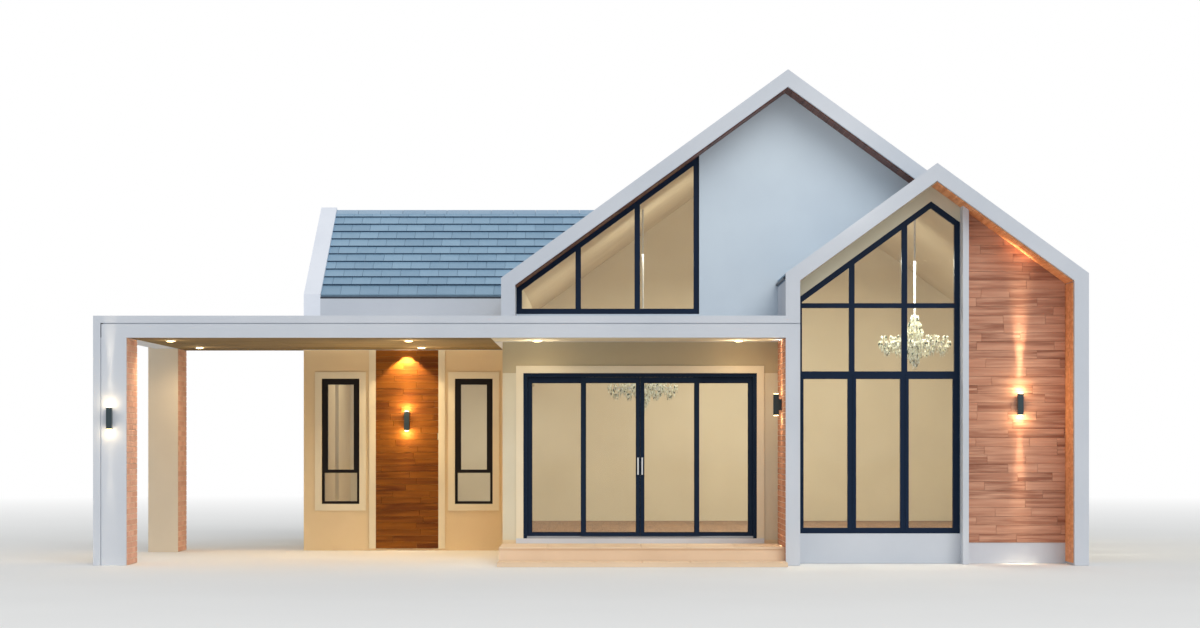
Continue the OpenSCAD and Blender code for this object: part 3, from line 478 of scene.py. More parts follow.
# %% Sizes of the roofs, read from the frame
PITCH, WING_PITCH = math.radians(36), math.radians(30.5)
cos_p, sin_p, tan_p = math.cos(PITCH), math.sin(PITCH), math.tan(PITCH)
cos_w, sin_w, tan_w = math.cos(WING_PITCH), math.sin(WING_PITCH), math.tan(WING_PITCH)
EAVE, GAUGE, TILE_W, LAP, STEP, TILE_T = 0.350, 0.262, 0.290, 0.050, 0.020, 0.036
TILE_GAP, TILE_EASE, EAVE_SHADE = 0.003, 0.002, 0.12
CAP_HALF, TUCK, SLAB, BED = 0.12, 0.02, 0.19, 0.0002
main_left, bay_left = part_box("main_roof_left"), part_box("bay_roof_left")
main_right, bay_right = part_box("main_roof_right"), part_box("bay_roof_right")
main_verge, bay_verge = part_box("main_verge_left"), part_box("bay_verge_left")
wing_front, wing_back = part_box("wing_roof_front"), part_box("wing_roof_back")
x_main, x_ridge, main_deck_z = main_left[0].x, main_left[1].x, main_left[1].z
x_bay, x_bay_ridge, bay_deck_z = bay_left[0].x, bay_left[1].x, bay_left[1].z
x_right, y_gable, y_back = main_right[1].x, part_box("gable_wall")[0].y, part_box("back_wall")[1].y
y_wing, y_wing_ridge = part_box("wing_front_wall")[0].y, wing_front[1].y
print("ridges", round(main_deck_z, 3), round(bay_deck_z, 3), round(wing_front[1].z, 3))

# %% One field of tiles
def trimmed(field, x0, x1, y1):
    """Trims a field drawn flat at its left, its right and its top."""
    for point, normal in (((x0, 0, 0), (-1, 0, 0)), ((x1, 0, 0), (1, 0, 0)), ((0, y1, 0), (0, 1, 0))):
        cut_away(field, point, normal)
    return field


def tile_course(name, count, length):
    """One course of tiles along X, each with its head lower than its tail, as tiles lie on each other."""
    tile = start_box(name, (TILE_GAP / 2, 0, TILE_T - STEP), (TILE_W - TILE_GAP / 2, length + LAP, TILE_T))
    with editing(tile):
        bpy.ops.transform.rotate(value=math.atan(STEP / GAUGE), orient_axis="X", orient_type="GLOBAL",
                                 center_override=(0, 0, TILE_T))
    soften(tile, TILE_EASE)
    each = len(tile.data.polygons)
    repeat(tile, count, (TILE_W, 0, 0))
    return put(tile, (-TILE_W, 0, 0)), each


def tile_field(name, width, length, seed):
    """Tiles drawn flat: X along the eave, Y up the slope. The course at the eave is longer than the rest."""
    count = math.ceil(width / TILE_W) + 2
    first, each = tile_course(name + "_first", count, EAVE)
    course, each = tile_course(name, count, GAUGE)
    second = copy_of(course, name + "_second", (-TILE_W / 2, 0, 0))
    field = joined(name, [second, put(course, (0, GAUGE, 0))])
    repeat(field, math.ceil((length - EAVE) / GAUGE / 2), (0, 2 * GAUGE, 0))
    at_eave = len(first.data.polygons)
    field = joined(name, [first, put(field, (0, EAVE, 0))])
    tone_each(field, each, seed)
    # Butt faces get the full painted shadow, and the eave course gets a little painted shade (EAVE_SHADE).
    butt_shade = field.data.attributes.new("butt_shade", "FLOAT", "FACE")
    for index, face in enumerate(field.data.polygons):
        butt_shade.data[index].value = 1.0 if face.normal.y < -0.5 else EAVE_SHADE if index < at_eave else 0.0
    trimmed(field, 0, width, length)
    lowest = min(v.co.z for v in field.data.vertices)
    print(name, "courses", 1 + math.ceil((length - EAVE) / GAUGE), "lowest", round(lowest, 4))
    return field


# %% Tiles on the wing
def wing_tiles(name, box, way, seed):
    """One slope of the wing: the field ends on the main roof's plane."""
    foot = box[0] if way > 0 else box[1]
    run = abs(y_wing_ridge - foot.y) - CAP_HALF + TUCK
    field = tile_field(name, box[1].x - box[0].x, run / cos_w, seed)
    foot_z = box[1].z - (run + CAP_HALF - TUCK) * tan_w
    set_down(field, (foot.x, foot.y, foot_z), (way, 0, 0), (0, way * cos_w, sin_w))
    cut_away(field, (0, foot.y, 0), (0, -way, 0))
    return cut_away(field, (x_ridge, 0, main_deck_z + TILE_T / cos_p), (sin_p, 0, -cos_p))


tiles_wing_front = wing_tiles("tiles_wing_front", wing_front, 1, 11)
tiles_wing_back = wing_tiles("tiles_wing_back", wing_back, -1, 12)

# %% Tiles on the main room and the bay
def split(piece, first, second):
    """Cuts two copies of a piece, each by its own planes, and joins what is left of them."""
    name, other = piece.name, copy_of(piece, piece.name + "_back")
    for half, planes in ((piece, first), (other, second)):
        for point, normal in planes:
            cut_away(half, point, normal)
    return joined(name, [piece, other])


def slope_tiles(name, eave_x, ridge_x, ridge_z, y0, y1, seed):
    """One slope that runs down towards eave_x, between two places along Y."""
    way = 1 if ridge_x > eave_x else -1
    run = abs(ridge_x - eave_x) - CAP_HALF + TUCK
    field = tile_field(name, y1 - y0, run / cos_p, seed)
    foot_z = ridge_z - (run + CAP_HALF - TUCK) * tan_p
    set_down(field, (eave_x, y1 if way > 0 else y0, foot_z), (0, -way, 0), (way * cos_p, 0, sin_p))
    return cut_away(field, (eave_x, 0, 0), (-way, 0, 0))


tiles_main_left = slope_tiles("tiles_main_left", x_main, x_ridge, main_deck_z, main_left[0].y,
                              main_left[1].y, 13)
valley = math.atan2(y_wing_ridge - y_wing, wing_front[1].x - x_main)
tiles_main_left = split(
    tiles_main_left,
    (((x_main, y_wing, 0), (-math.sin(valley), math.cos(valley), 0)), ((0, y_wing_ridge, 0), (0, 1, 0))),
    (((x_main, y_back, 0), (-math.sin(valley), -math.cos(valley), 0)), ((0, y_wing_ridge, 0), (0, -1, 0))))

tiles_main_right = slope_tiles("tiles_main_right", x_right, x_ridge, main_deck_z, main_right[0].y,
                               main_right[1].y, 14)
tiles_bay_right = slope_tiles("tiles_bay_right", x_right, x_bay_ridge, bay_right[1].z, bay_right[0].y,
                              main_right[0].y, 15)
tiles_bay_left = slope_tiles("tiles_bay_left", x_bay, x_bay_ridge, bay_deck_z, bay_left[0].y, y_gable, 16)
under_verge = (x_ridge, 0, main_deck_z + TILE_T / cos_p - SLAB / cos_p)
tiles_bay_left = split(tiles_bay_left, (((0, main_verge[0].y, 0), (0, 1, 0)),),
                       (((0, main_verge[0].y, 0), (0, -1, 0)), (under_verge, (sin_p, 0, cos_p))))

for field in (tiles_wing_front, tiles_wing_back, tiles_main_left, tiles_main_right, tiles_bay_right,
              tiles_bay_left):
    finish_piece(field, "roof_tile", roof_tile, "roof_tiles")

# %% [markdown]
# ## Ridge caps
# A ridge is closed by angled caps that lie over the top course on both sides. Each cap is a strip folded
# along its middle to the roof's pitch, and an array repeats it with a narrow joint.

# %% Caps
CAP_L, CAP_GAP, CAP_T = 0.36, 0.004, 0.014


def ridge_line(name, start, end, slope, seed):
    """Caps from start to end, along the top of the ridge at that height."""
    start, end = Vector(start), Vector(end)
    length = (end - start).length
    count = max(1, round(length / CAP_L))
    each = length / count
    cap = start_box(name, (CAP_GAP / 2, -CAP_HALF, -CAP_T), (each - CAP_GAP / 2, CAP_HALF, 0))
    with editing(cap):
        bpy.ops.mesh.bisect(plane_co=(0, 0, 0), plane_no=(0, 1, 0))
    for vertex in cap.data.vertices:
        vertex.co.z -= abs(vertex.co.y) * math.tan(slope)
    soften(cap, TILE_EASE)
    faces_each = len(cap.data.polygons)
    repeat(cap, count, (each, 0, 0))
    tone_each(cap, faces_each, seed)
    return set_down(cap, start, end - start, Vector((0, 0, 1)).cross(end - start))


top_main, top_bay, top_wing = main_verge[1].z, bay_verge[1].z, wing_front[1].z + TILE_T / cos_w
cap_main = ridge_line("caps_main", (x_ridge, main_left[0].y, top_main), (x_ridge, main_left[1].y, top_main),
                      PITCH, 21)
cap_bay = ridge_line("caps_bay", (x_bay_ridge, bay_left[0].y, top_bay),
                     (x_bay_ridge, main_verge[0].y, top_bay), PITCH, 22)
cap_wing = ridge_line("caps_wing", (wing_front[0].x, y_wing_ridge, top_wing),
                      (wing_front[1].x + 0.1, y_wing_ridge, top_wing), WING_PITCH, 23)
cut_away(cap_wing, (x_ridge, 0, top_main), (sin_p, 0, -cos_p))
finish_piece(joined("ridge_cap_tiles", [cap_main, cap_bay, cap_wing]), "roof_tile", cap_tile, "ridge_caps")

# %% [markdown]
# ## Gutters
# Rain runs into slim dark gutters behind the edges of the wing and along the bay's left eave. A gutter is a
# channel, so the top of a long box is inset and pushed down, which leaves thin walls and closed ends.

# %% Channels
GUTTER, GUTTER_W, GUTTER_T = 0.026, 0.08, 0.003


def channel(name, x0, x1, y0, y1, top):
    """A box whose top is inset and pushed down."""
    low_z = top - GUTTER
    piece = start_box(name, (x0, y0, low_z), (x1, y1, top))
    with editing(piece, lambda normal: normal.z > 0.9):
        bpy.ops.mesh.inset(thickness=GUTTER_T)
        bpy.ops.transform.translate(value=(0, 0, GUTTER_T - (top - low_z)))
    return soften(piece, GUTTER_T / 3)


wing_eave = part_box("wing_front_wall")[1].z + GUTTER
gutters = [
    channel("gutter_front", wing_front[0].x, x_main, y_wing, y_wing + GUTTER_W, wing_eave),
    channel("gutter_back", wing_front[0].x, x_main, y_back - GUTTER_W, y_back, wing_eave),
    channel("gutter_bay", x_bay - GUTTER, x_bay, bay_left[0].y, y_gable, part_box("gutters")[0].z + GUTTER),
]
finish_piece(joined("gutter_channels", gutters), "gutter_metal", gutter_metal, "gutters")

# %% [markdown]
# ## Brick facing
# The inner faces of the columns and the bay's leg beside the porch are faced with terracotta brick slips in
# running bond, set in pale mortar. The mortar is a bed a little behind the face, and each brick is a bevelled
# box, because the joints are deep enough to cast a shadow. Bricks are laid as a flat field and set upright.

# %% Lay bricks
BRICK_L, BRICK_H, JOINT, SLIP, BACK_OFF, BED_BACK = 0.215, 0.065, 0.010, 0.040, 0.002, 0.007
CORNER, COLUMN_W, COLUMN_D = 0.030, 0.441, 0.850


def brick_field(name, width, height, seed):
    """Bricks drawn flat in running bond: X along the course, Y up, Z out of the wall."""
    pitch_x, pitch_y = BRICK_L + JOINT, BRICK_H + JOINT
    one = eased_box(name, (0, JOINT / 2, SLIP * 0.6), (BRICK_L, BRICK_H + JOINT / 2, SLIP), 0.003)
    faces_each = len(one.data.polygons)
    repeat(one, math.ceil(width / pitch_x) + 2, (pitch_x, 0, 0))
    put(one, (-pitch_x + JOINT / 2, 0, 0))
    second = copy_of(one, name + "_second", (-pitch_x / 2, pitch_y, 0))
    field = joined(name, [one, second])
    repeat(field, math.ceil(height / pitch_y / 2), (0, 2 * pitch_y, 0))
    tone_each(field, faces_each, seed)
    return trimmed(field, BACK_OFF, width - BACK_OFF, height - BACK_OFF)


columns, brick_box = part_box("columns"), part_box("brick_facing")
ceiling_z, bricks, beds = brick_box[1].z, [], []
faces = [
    ("front_column", brick_box[0].x, columns[0].y + CORNER, columns[0].y + COLUMN_D, 1),
    ("rear_column", brick_box[0].x, columns[1].y - COLUMN_D + CORNER, columns[1].y, 1),
    ("bay_leg", brick_box[1].x, columns[0].y + CORNER, y_gable, -1),
]
for number, (name, wall_x, y0, y1, way) in enumerate(faces):
    field = brick_field("bricks_" + name, y1 - y0, ceiling_z, 31 + number)
    set_down(field, (wall_x, y0 if way > 0 else y1, 0), (0, way, 0), (0, 0, 1))
    bricks.append(field)
    x0, x1 = sorted((wall_x, wall_x + way * (SLIP - BED_BACK)))
    beds.append(eased_box("bed_" + name, (x0, y0, 0), (x1, y1, ceiling_z), 0.001))
# The bay leg's bricks get the darker brick, which is painted shade.
finish_piece(bricks.pop(), "brick", brick_painted_shade, "brick_facing")
finish_piece(joined("brick_slips", bricks), "brick", brick, "brick_facing")
finish_piece(joined("brick_mortar", beds), "brick", mortar, "brick_facing")

# %% [markdown]
# ## Boards
# Five places carry boards: the tall wall beside the bay window, the panel between the wing's windows, the
# linings under the two gables and the ceiling of the carport. Boards are laid as boxes with a small gap, each
# with eased edges and a tone of its own. Long walls use random lengths, as a joiner does with real stock.

# %% Lay boards
STUB, BOARD_EASE = 0.04, 0.0015


def board_sheet(name, length, width, board, thickness, gap, shortest, longest, seed):
    """Boards drawn flat: X along the board, Y from row to row, Z the face side."""
    draw = random.Random(seed)
    bpy.ops.object.select_all(action="DESELECT")
    rows = round(width / board)
    step = width / rows
    sheet = None
    for row in range(rows):
        x = -draw.uniform(0, longest * 0.8)
        while x < length:
            end = x + draw.uniform(shortest, longest)
            x0, x1, x = max(x, 0), min(end, length), end
            if x1 - x0 < STUB:
                continue
            bpy.ops.mesh.primitive_cube_add(
                size=1, location=((x0 + x1) / 2, (row + 0.5) * step, thickness / 2),
                scale=(x1 - x0 - gap, step - gap, thickness))
            if sheet is None:
                sheet = as_made(name)
                bpy.ops.object.mode_set(mode="EDIT")
    bpy.ops.object.mode_set(mode="OBJECT")
    tone_each(sheet, 6, seed)
    return soften(sheet, BOARD_EASE)


to_under = (TILE_T - SLAB) / cos_p - 2 * BED

# %% The board wall beside the bay window and the panel between the wing's windows
wood_wall, panel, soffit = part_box("wood_wall"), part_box("wood_panel"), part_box("bay_soffit")
SOFFIT_T, PROUD = 0.014, 0.012
board_wall = board_sheet("board_wall", wood_wall[1].x - wood_wall[0].x - SOFFIT_T,
                         wood_wall[1].z - wood_wall[0].z, 0.118, PROUD, 0.003, 0.35, 1.3, 41)
set_down(board_wall, wood_wall[0], (1, 0, 0), (0, 0, 1))
cut_away(board_wall, (x_bay_ridge, 0, bay_deck_z + to_under - SOFFIT_T / cos_p), (sin_p, 0, cos_p))
finish_piece(board_wall, "wood_boards", red_boards)

panel_wall = board_sheet("panel_wall", panel[1].x - panel[0].x, panel[1].z - panel[0].z,
                         0.096, panel[1].y - panel[0].y, 0.002, 0.5, 1.1, 42)
set_down(panel_wall, (panel[0].x, panel[1].y, panel[0].z), (1, 0, 0), (0, 0, 1))
finish_piece(panel_wall, "wood_boards", panel_boards, "wood_panel")

# %% Linings under the gables
def slope_lining(name, eave_x, ridge_x, deck_z, y0, y1, seed):
    """Boards from front to back under a slope, from the knee to the ridge."""
    way = 1 if ridge_x > eave_x else -1
    run = abs(ridge_x - eave_x) - SLAB
    sheet = board_sheet(name, y1 - y0, run / cos_p, 0.09, SOFFIT_T - 2 * BED, 0.002, 3.0, 5.0, seed)
    foot = (eave_x + way * SLAB, y0 if way > 0 else y1, deck_z + to_under - run * tan_p)
    set_down(sheet, foot, (0, way, 0), (way * cos_p, 0, sin_p))
    cut_away(sheet, (ridge_x, 0, 0), (way, 0, 0))
    return cut_away(sheet, (eave_x + way * (SLAB + BED), 0, 0), (-way, 0, 0))


bay_lining = [
    slope_lining("bay_lining_left", x_bay, x_bay_ridge, bay_deck_z, soffit[0].y, soffit[1].y, 43),
    slope_lining("bay_lining_right", x_right, x_bay_ridge, bay_deck_z, soffit[0].y, soffit[1].y, 44),
]
leg_top = bay_deck_z + to_under - (x_right - SLAB - x_bay_ridge) * tan_p - SOFFIT_T / cos_p
finish_piece(bay_lining.pop(0), "wood_boards", pale_boards, "bay_soffit")
leg_lining = board_sheet("bay_lining_leg", leg_top - soffit[0].z, soffit[1].y - soffit[0].y,
                         0.095, SOFFIT_T, 0.002, 4.0, 6.0, 45)
set_down(leg_lining, (soffit[1].x, soffit[0].y, soffit[0].z), (0, 0, 1), (0, 1, 0))
# The right lining and the leg get the orange boards, which carry painted lamplight.
finish_piece(joined("bay_lining", bay_lining + [leg_lining]), "wood_boards", lamplit_boards, "bay_soffit")

low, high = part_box("gable_soffit")
lining_right = slope_lining("gable_lining_right", x_right, x_ridge, main_deck_z, low.y, high.y, 47)
cut_away(lining_right, (high.x, 0, 0), (1, 0, 0))
lining_left = slope_lining("gable_lining_left", x_main, x_ridge, main_deck_z, low.y, high.y, 46)
finish_piece(joined("gable_lining", [lining_left, lining_right]), "dark_boards", dark_boards, "gable_soffit")

# %% The ceiling of the carport and the porch
ceiling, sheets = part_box("carport_ceiling"), []
inset, wing_x, porch_x = ceiling[0].y - columns[0].y, wing_front[0].x - 0.25, x_main - 0.11
for number, (name, x0, x1, y1) in enumerate((
        ("ceiling_left", ceiling[0].x, wing_x, ceiling[1].y),
        ("ceiling_right", wing_x, porch_x, y_wing - inset),
        ("porch_ceiling", porch_x, ceiling[1].x, y_gable - inset))):
    sheet = board_sheet(name, x1 - x0, y1 - ceiling[0].y, 0.11, ceiling[1].z - ceiling[0].z - 0.002, 0.003,
                        1.8, 3.6, 51 + number)
    sheets.append(set_down(sheet, (x0, y1, ceiling[1].z), (1, 0, 0), (0, -1, 0)))
finish_piece(sheets.pop(), "ceiling_boards", cream_plaster, "carport_ceiling")
finish_piece(joined("ceiling_planks", sheets), "ceiling_boards", ceiling_boards, "carport_ceiling")

# %% [markdown]
# ## Lamps
# Slim lamps on the walls shine up and down, round lights sit in the ceilings, and two crystal lamps hang in
# the rooms. Each lamp is a housing with a separate lens, since only the lens glows. The housing's open ends
# are made by an inset that is pushed in, as the real tube has.

# %% Wall lamps
def wall_lamp(name, foot, turn):
    """A square tube on a bracket, with a lens in each end."""
    width, off, half, wall, lens_z, lens_half = 0.075, 0.038, 0.144, 0.0065, 0.142, 0.008
    body = start_box(name, (-width / 2, -off - width, -half), (width / 2, -off, half))
    with editing(body, lambda normal: abs(normal.z) > 0.9):
        bpy.ops.mesh.inset(thickness=0.005, use_individual=True)
        bpy.ops.transform.resize(value=(1, 1, 0.93), center_override=(0, -off - width / 2, 0))
    soften(body, 0.0015, 2)
    plate = eased_box(name + "_plate", (-width / 3, -off, -0.075), (width / 3, 0, 0.075), 0.003)
    lamp = joined(name, [body, plate])
    lens = joined(name + "_lens", [
        eased_box(name + "_lens", (wall - width / 2, -off - width + wall, side * lens_z - lens_half),
                  (width / 2 - wall, -off - wall, side * lens_z + lens_half), 0.004, 2) for side in (-1, 1)])
    return put(lamp, foot, (0, 0, turn)), put(lens, foot, (0, 0, turn))


CARPORT_LAMP_Z, FRONT_LAMP_Z = 1.95, 2.142
panel_x = (panel[0].x + panel[1].x) / 2
board_x = (wood_wall[0].x + wood_wall[1].x) / 2 + 0.045
lamp_places = [
    ("lamp_column", (columns[0].x + COLUMN_W / 2 + 0.0075, columns[0].y, CARPORT_LAMP_Z), 0),
    ("lamp_panel", (panel_x, panel[0].y, CARPORT_LAMP_Z), 0),
    ("lamp_porch", (x_bay, (columns[0].y + y_gable) / 2, FRONT_LAMP_Z), -math.pi / 2),
    ("lamp_board", (board_x, wood_wall[0].y - PROUD, FRONT_LAMP_Z), 0),
]
tubes, lenses = zip(*(wall_lamp(name, place, turn) for name, place, turn in lamp_places))
finish_piece(joined("wall_lamp_tubes", tubes), "lamp_body", lamp_body, "wall_lamps")
finish_piece(joined("wall_lamp_lenses", lenses), "lamp_lens", lamp_lens, "wall_lamps")

# %% Round lights in the ceilings
CARPORT_W, FIRST_ROW, ROW_GAP, RIM_W, RIM_H = 5.366, 1.07, 2.69, 0.140, 0.008
rim_z, front_y = ceiling[0].z, columns[0].y + FIRST_ROW
lights_x = [x_main - CARPORT_W + 0.16 * CARPORT_W, x_main - 0.235 * CARPORT_W]
porch_lights_x = [x_main + 0.13 * (x_bay - x_main), x_bay - 0.15 * (x_bay - x_main)]
spots = [(x, front_y + row * ROW_GAP) for x in lights_x for row in (0, 1)]
spots += [(x, front_y) for x in porch_lights_x]
rims, discs = [], []
for number, (x, y) in enumerate(spots):
    rim = start_round("rim_%d" % number, (x, y, rim_z - RIM_H), RIM_H, RIM_W, sides=32)
    with editing(rim, lambda normal: normal.z < -0.9):
        bpy.ops.mesh.inset(thickness=0.012)
        bpy.ops.transform.translate(value=(0, 0, RIM_H / 2))
    rims.append(soften(rim, 0.001))
    disc = start_round("disc_%d" % number, (x, y, rim_z - 0.017), 0.013, 0.088, 0.114, 28)
    discs.append(soften(disc, 0.006, 3))
finish_piece(joined("ceiling_light_rims", rims), "lamp_lens", trim_paint, "downlights")
finish_piece(joined("ceiling_light_lenses", discs), "lamp_lens", lamp_lens, "downlights")

# %% [markdown]
# ## Hanging lamps
# Each hanging lamp has a white lacquered rod, a stack of faceted glass and six arms, each with a cup and a
# cluster of drops. A drop has six sides only, because many hang on each lamp. One drop is made, and spin
# repeats it round the rod in rings, which is how the real ones are strung.

# %% A ring of drops
def drop(name, place, height, width):
    """A cut glass drop: a short cone over a long one."""
    top = start_round(name, (place[0], place[1], place[2] + height * 0.7), height * 0.3, width, 0.004, 6)
    low = start_round(name + "_low", place, height * 0.7, 0.004, width, 6)
    return joined(name, [top, low])


def spun(piece, centre, count):
    """Repeats a piece round a vertical line."""
    with editing(piece):
        bpy.ops.mesh.spin(steps=count - 1, dupli=True, angle=2 * math.pi * (count - 1) / count, center=centre,
                          axis=(0, 0, 1))
    return piece


# The drops are clear cut glass. Their pale and dark facets are painted glints and painted reflections, and
# the faint emission is a painted glow.
crystal, shader, place = start_finish("crystal", 0.06, Emission_Strength=0.10)
glint_mask = spread(noise(place, 36.0, 2.0), 0.38, 0.60)
dark_reflection_mask = spread(noise(place, 22.0, 1.0), 0.61, 0.64)
painted_sparkle = blend(dark_reflection_mask, blend(glint_mask, (188, 180, 142), (246, 248, 234)), (54, 72, 50))
coat(shader, painted_sparkle, noise(place, 90.0, 2.0), 0.002, 0.6)
feed(shader.inputs["Emission Color"], painted_sparkle)
rod_paint = coated("rod_paint", (236, 238, 240), 0.35)

# %% Two hanging lamps
def hanging_lamp(name, x, y, foot, top):
    """Glass round a rod, with arms that carry clusters of drops."""
    arm_z, reach, arms, parts, metal = foot + 0.34, 0.395, 6, [], []
    # radius of the ring, height over the foot, count, height and width of a drop
    tiers = (
        (0.030, 0, 5, 0.20, 0.050), (0.065, 0.07, 8, 0.20, 0.050), (0.100, 0.15, 11, 0.20, 0.052),
        (0.130, 0.27, 13, 0.16, 0.050), (0.110, 0.38, 11, 0.20, 0.050), (0.080, 0.50, 9, 0.18, 0.046),
        (0.048, 0.60, 6, 0.18, 0.044),
    )
    for number, (radius, up, count, height, width) in enumerate(tiers):
        one = drop("%s_ring_%d" % (name, number), (x + radius, y, foot + up), height, width)
        parts.append(spun(one, (x, y, 0), count))
    # the same for the cluster at the end of an arm, with heights over the arm
    clusters = ((0.030, -0.16, 4, 0.12), (0.070, -0.11, 6, 0.13), (0.110, -0.05, 8, 0.13),
                (0.070, 0.05, 5, 0.10))
    for number, (radius, up, count, height) in enumerate(clusters):
        one = drop("%s_cluster_%d" % (name, number), (x + reach + radius, y, arm_z + up), height, 0.040)
        parts.append(spun(spun(one, (x + reach, y, 0), count), (x, y, 0), arms))
    cup = start_round(name + "_cup", (x + reach, y, arm_z), 0.045, 0.040, 0.090, 12)
    arm = eased_box(name + "_arm", (x + 0.02, y - 0.008, arm_z + 0.004),
                    (x + reach, y + 0.008, arm_z + 0.018), 0.003)
    with editing(arm):
        bpy.ops.mesh.subdivide(number_cuts=5)
    for vertex in arm.data.vertices:
        vertex.co.z += 0.07 * math.sin(math.pi * (vertex.co.x - x) / reach)
    metal.append(spun(joined(name + "_arm", [arm, cup]), (x, y, 0), arms))
    metal.append(start_round(name + "_rod", (x, y, foot + 0.05), top - foot - 0.05, 0.030, sides=16))
    metal.append(start_round(name + "_collar", (x, y, arm_z - 0.01), 0.05, 0.11, 0.05, 20))
    metal.append(start_round(name + "_rose", (x, y, top - 0.05), 0.05, 0.034, 0.036, 20))
    return joined(name + "_glass", parts), joined(name + "_metal", metal)


def under_roof(x):
    """The height where the main room's ceiling is at x."""
    return main_deck_z + to_under - abs(x - x_ridge) * tan_p


DOOR_HANG, BAY_HANG = (0.749, y_gable + 2.35, 2.06), (4.588, y_gable + 0.95, 2.66)
drops, rods = zip(*(hanging_lamp("hanging_%d" % k, x, y, foot, under_roof(x) - 0.02)
                    for k, (x, y, foot) in enumerate((DOOR_HANG, BAY_HANG))))
finish_piece(joined("hanging_lamp_drops", drops), "crystal", crystal, "hanging_lamps")
finish_piece(joined("hanging_lamp_rods", rods), "crystal", rod_paint, "hanging_lamps")

# %% [markdown]
# ## Door handles, paving and gaskets
# The pull handles are flat bars on two posts. Every pane sits in a dark gasket, which is what makes a window
# look glazed. A gasket is a thin box whose front and back are inset and then bridged, so that it has a real
# hole. The porch is paved with stone slabs whose front edge stands a little proud. A texture could draw
# their joints, but the edge shows them from the side, so one slab is made and repeated.

# %% Pull handles on the two sliding leaves
for side, body in (("left", "left_door"), ("right", "right_door")):
    low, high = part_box(side + "_handle")
    middle, forwards, post_z = (low.x + high.x) / 2, (math.pi / 2, 0, 0), (low.z + 0.022, high.z - 0.022)
    bar = eased_box(side + "_bar", low, (high.x, low.y + 0.010, high.z), 0.004, 3)
    posts = [start_round(side + "_post", (middle, high.y, z), high.y - low.y - 0.006, 0.011, sides=20,
                         turn=forwards) for z in post_z]
    roses = [soften(start_round(side + "_rose", (middle, high.y, z), 0.003, 0.020, turn=forwards), 0.001)
             for z in post_z]
    pull = joined(side + "_pull", [bar] + posts + roses)
    finish_piece(pull, "handle_steel", handle_steel, side + "_handle", body=body)

# %% Gaskets round the panes of the door and between its leaves
def ring(name, low, high, width):
    """A flat frame: a box whose front and back are inset, then joined through."""
    frame_piece = start_box(name, low, high)
    with editing(frame_piece, lambda normal: abs(normal.y) > 0.9):
        bpy.ops.mesh.inset(thickness=width, use_individual=True)
        bpy.ops.mesh.bridge_edge_loops()
    return soften(frame_piece, 0.001)


STILE, BEAD, SEAL, SEAL_BACK = 0.066, 0.006, 0.0037, 0.010
for side, body, way in (("left", "left_door", 1), ("right", "right_door", -1)):
    low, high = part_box(side + "_glass")
    front = ring(side + "_bead", (low.x, low.y - BEAD, low.z), (high.x, low.y, high.z), BEAD)
    rear = ring(side + "_bead_rear", (low.x, high.y, low.z), (high.x, high.y + BEAD, high.z), BEAD)
    low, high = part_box(side + "_leaf")
    edge = high.x if way > 0 else low.x
    x0, x1 = sorted((edge, edge + way * SEAL))
    seal = eased_box(side + "_seal", (x0, low.y + SEAL_BACK, low.z), (x1, high.y - SEAL_BACK, high.z), 0.001)
    finish_piece(joined(side + "_gaskets", [front, rear, seal]), "navy_frame", rubber, body=body)

low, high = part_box("fixed_leaves")
glass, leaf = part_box("left_glass"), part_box("left_leaf")
wide, back_y = leaf[1].x - leaf[0].x - 2 * STILE, glass[0].y + low.y - leaf[0].y
beads = [ring("fixed_bead_%d" % number, (x, back_y - BEAD, glass[0].z), (x + wide, back_y, glass[1].z), BEAD)
         for number, x in enumerate((low.x + STILE, high.x - STILE - wide))]
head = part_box("door_head")
beads.append(eased_box("brush", (head[0].x, leaf[0].y + 0.012, leaf[1].z + 0.001),
                       (head[1].x, leaf[1].y - 0.012, head[0].z), 0.001))
print("door gaskets: panes", round(wide, 3), "wide, brush", round(head[0].z - leaf[1].z - 0.001, 4), "high")
finish_piece(joined("door_beads", beads), "navy_frame", rubber)

# %% Paving on the porch and its step
NOSE, SILL_FRONT, OPEN = 0.022, 0.037, 0.002


def slabs(name, x0, y0, x1, y1, z, thickness, rows):
    """Six slabs in a row with open joints, on a flat bed."""
    wide, deep = (x1 - x0) / 6, (y1 - y0) / rows
    one = eased_box(name, (x0 + OPEN, y0 + OPEN, z), (x0 + wide - OPEN, y0 + deep - OPEN, z + thickness),
                    0.003, 2)
    return repeat(repeat(one, 6, (wide, 0, 0)), rows, (0, deep, 0))


porch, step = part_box("porch_plinth"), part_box("porch_step")
paved = [
    slabs("slabs_porch", porch[0].x, porch[0].y - NOSE, porch[1].x, y_gable - SILL_FRONT, porch[1].z, NOSE,
          2),
    slabs("slabs_step", step[0].x, step[0].y, step[1].x, step[1].y, step[1].z, 0.012, 1),
]
finish_piece(joined("porch_paving", paved), "concrete", paving)

# %% [markdown]
# ## The frame's own nodes
# Walls, roofs, frames, glass and doors are right as they are, so they stay and only get their finishes. The
# record says which slot each node belongs to, and that gives most of the finishes. Where a node has a room
# on one side and open air on the other, its paint changes inside the wall, where nobody sees the line.

# %% Finishes by node
by_slot = dict(
    white_plaster=white_plaster, cream_plaster=cream_plaster, concrete=concrete, floor_boards=floor_boards,
    navy_frame=navy_frame, black_frame=black_frame, track_metal=track_metal, clear_glass=window_pane,
    wood_boards=red_boards)
LEFT, RIGHT, FRONT, BACK, DOWN, UP = (-1, 0, 0), (1, 0, 0), (0, -1, 0), (0, 1, 0), (0, 0, -1), (0, 0, 1)
HALF_WALL, BAND, SURROUND_FOOT, PARAPET_FOOT = 0.125, 0.45, 0.301, 3.25
right_wall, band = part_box("right_wall"), wing_front[1].z - BAND
outside_gable = beyond(FRONT, -y_gable - HALF_WALL)


def two_sided(name, normal, limit, outer=CREAM):
    """A room's paint inside and the outer paint past the middle of the wall."""
    return plaster(name, *ROOM, other=outer, past=beyond(normal, limit))


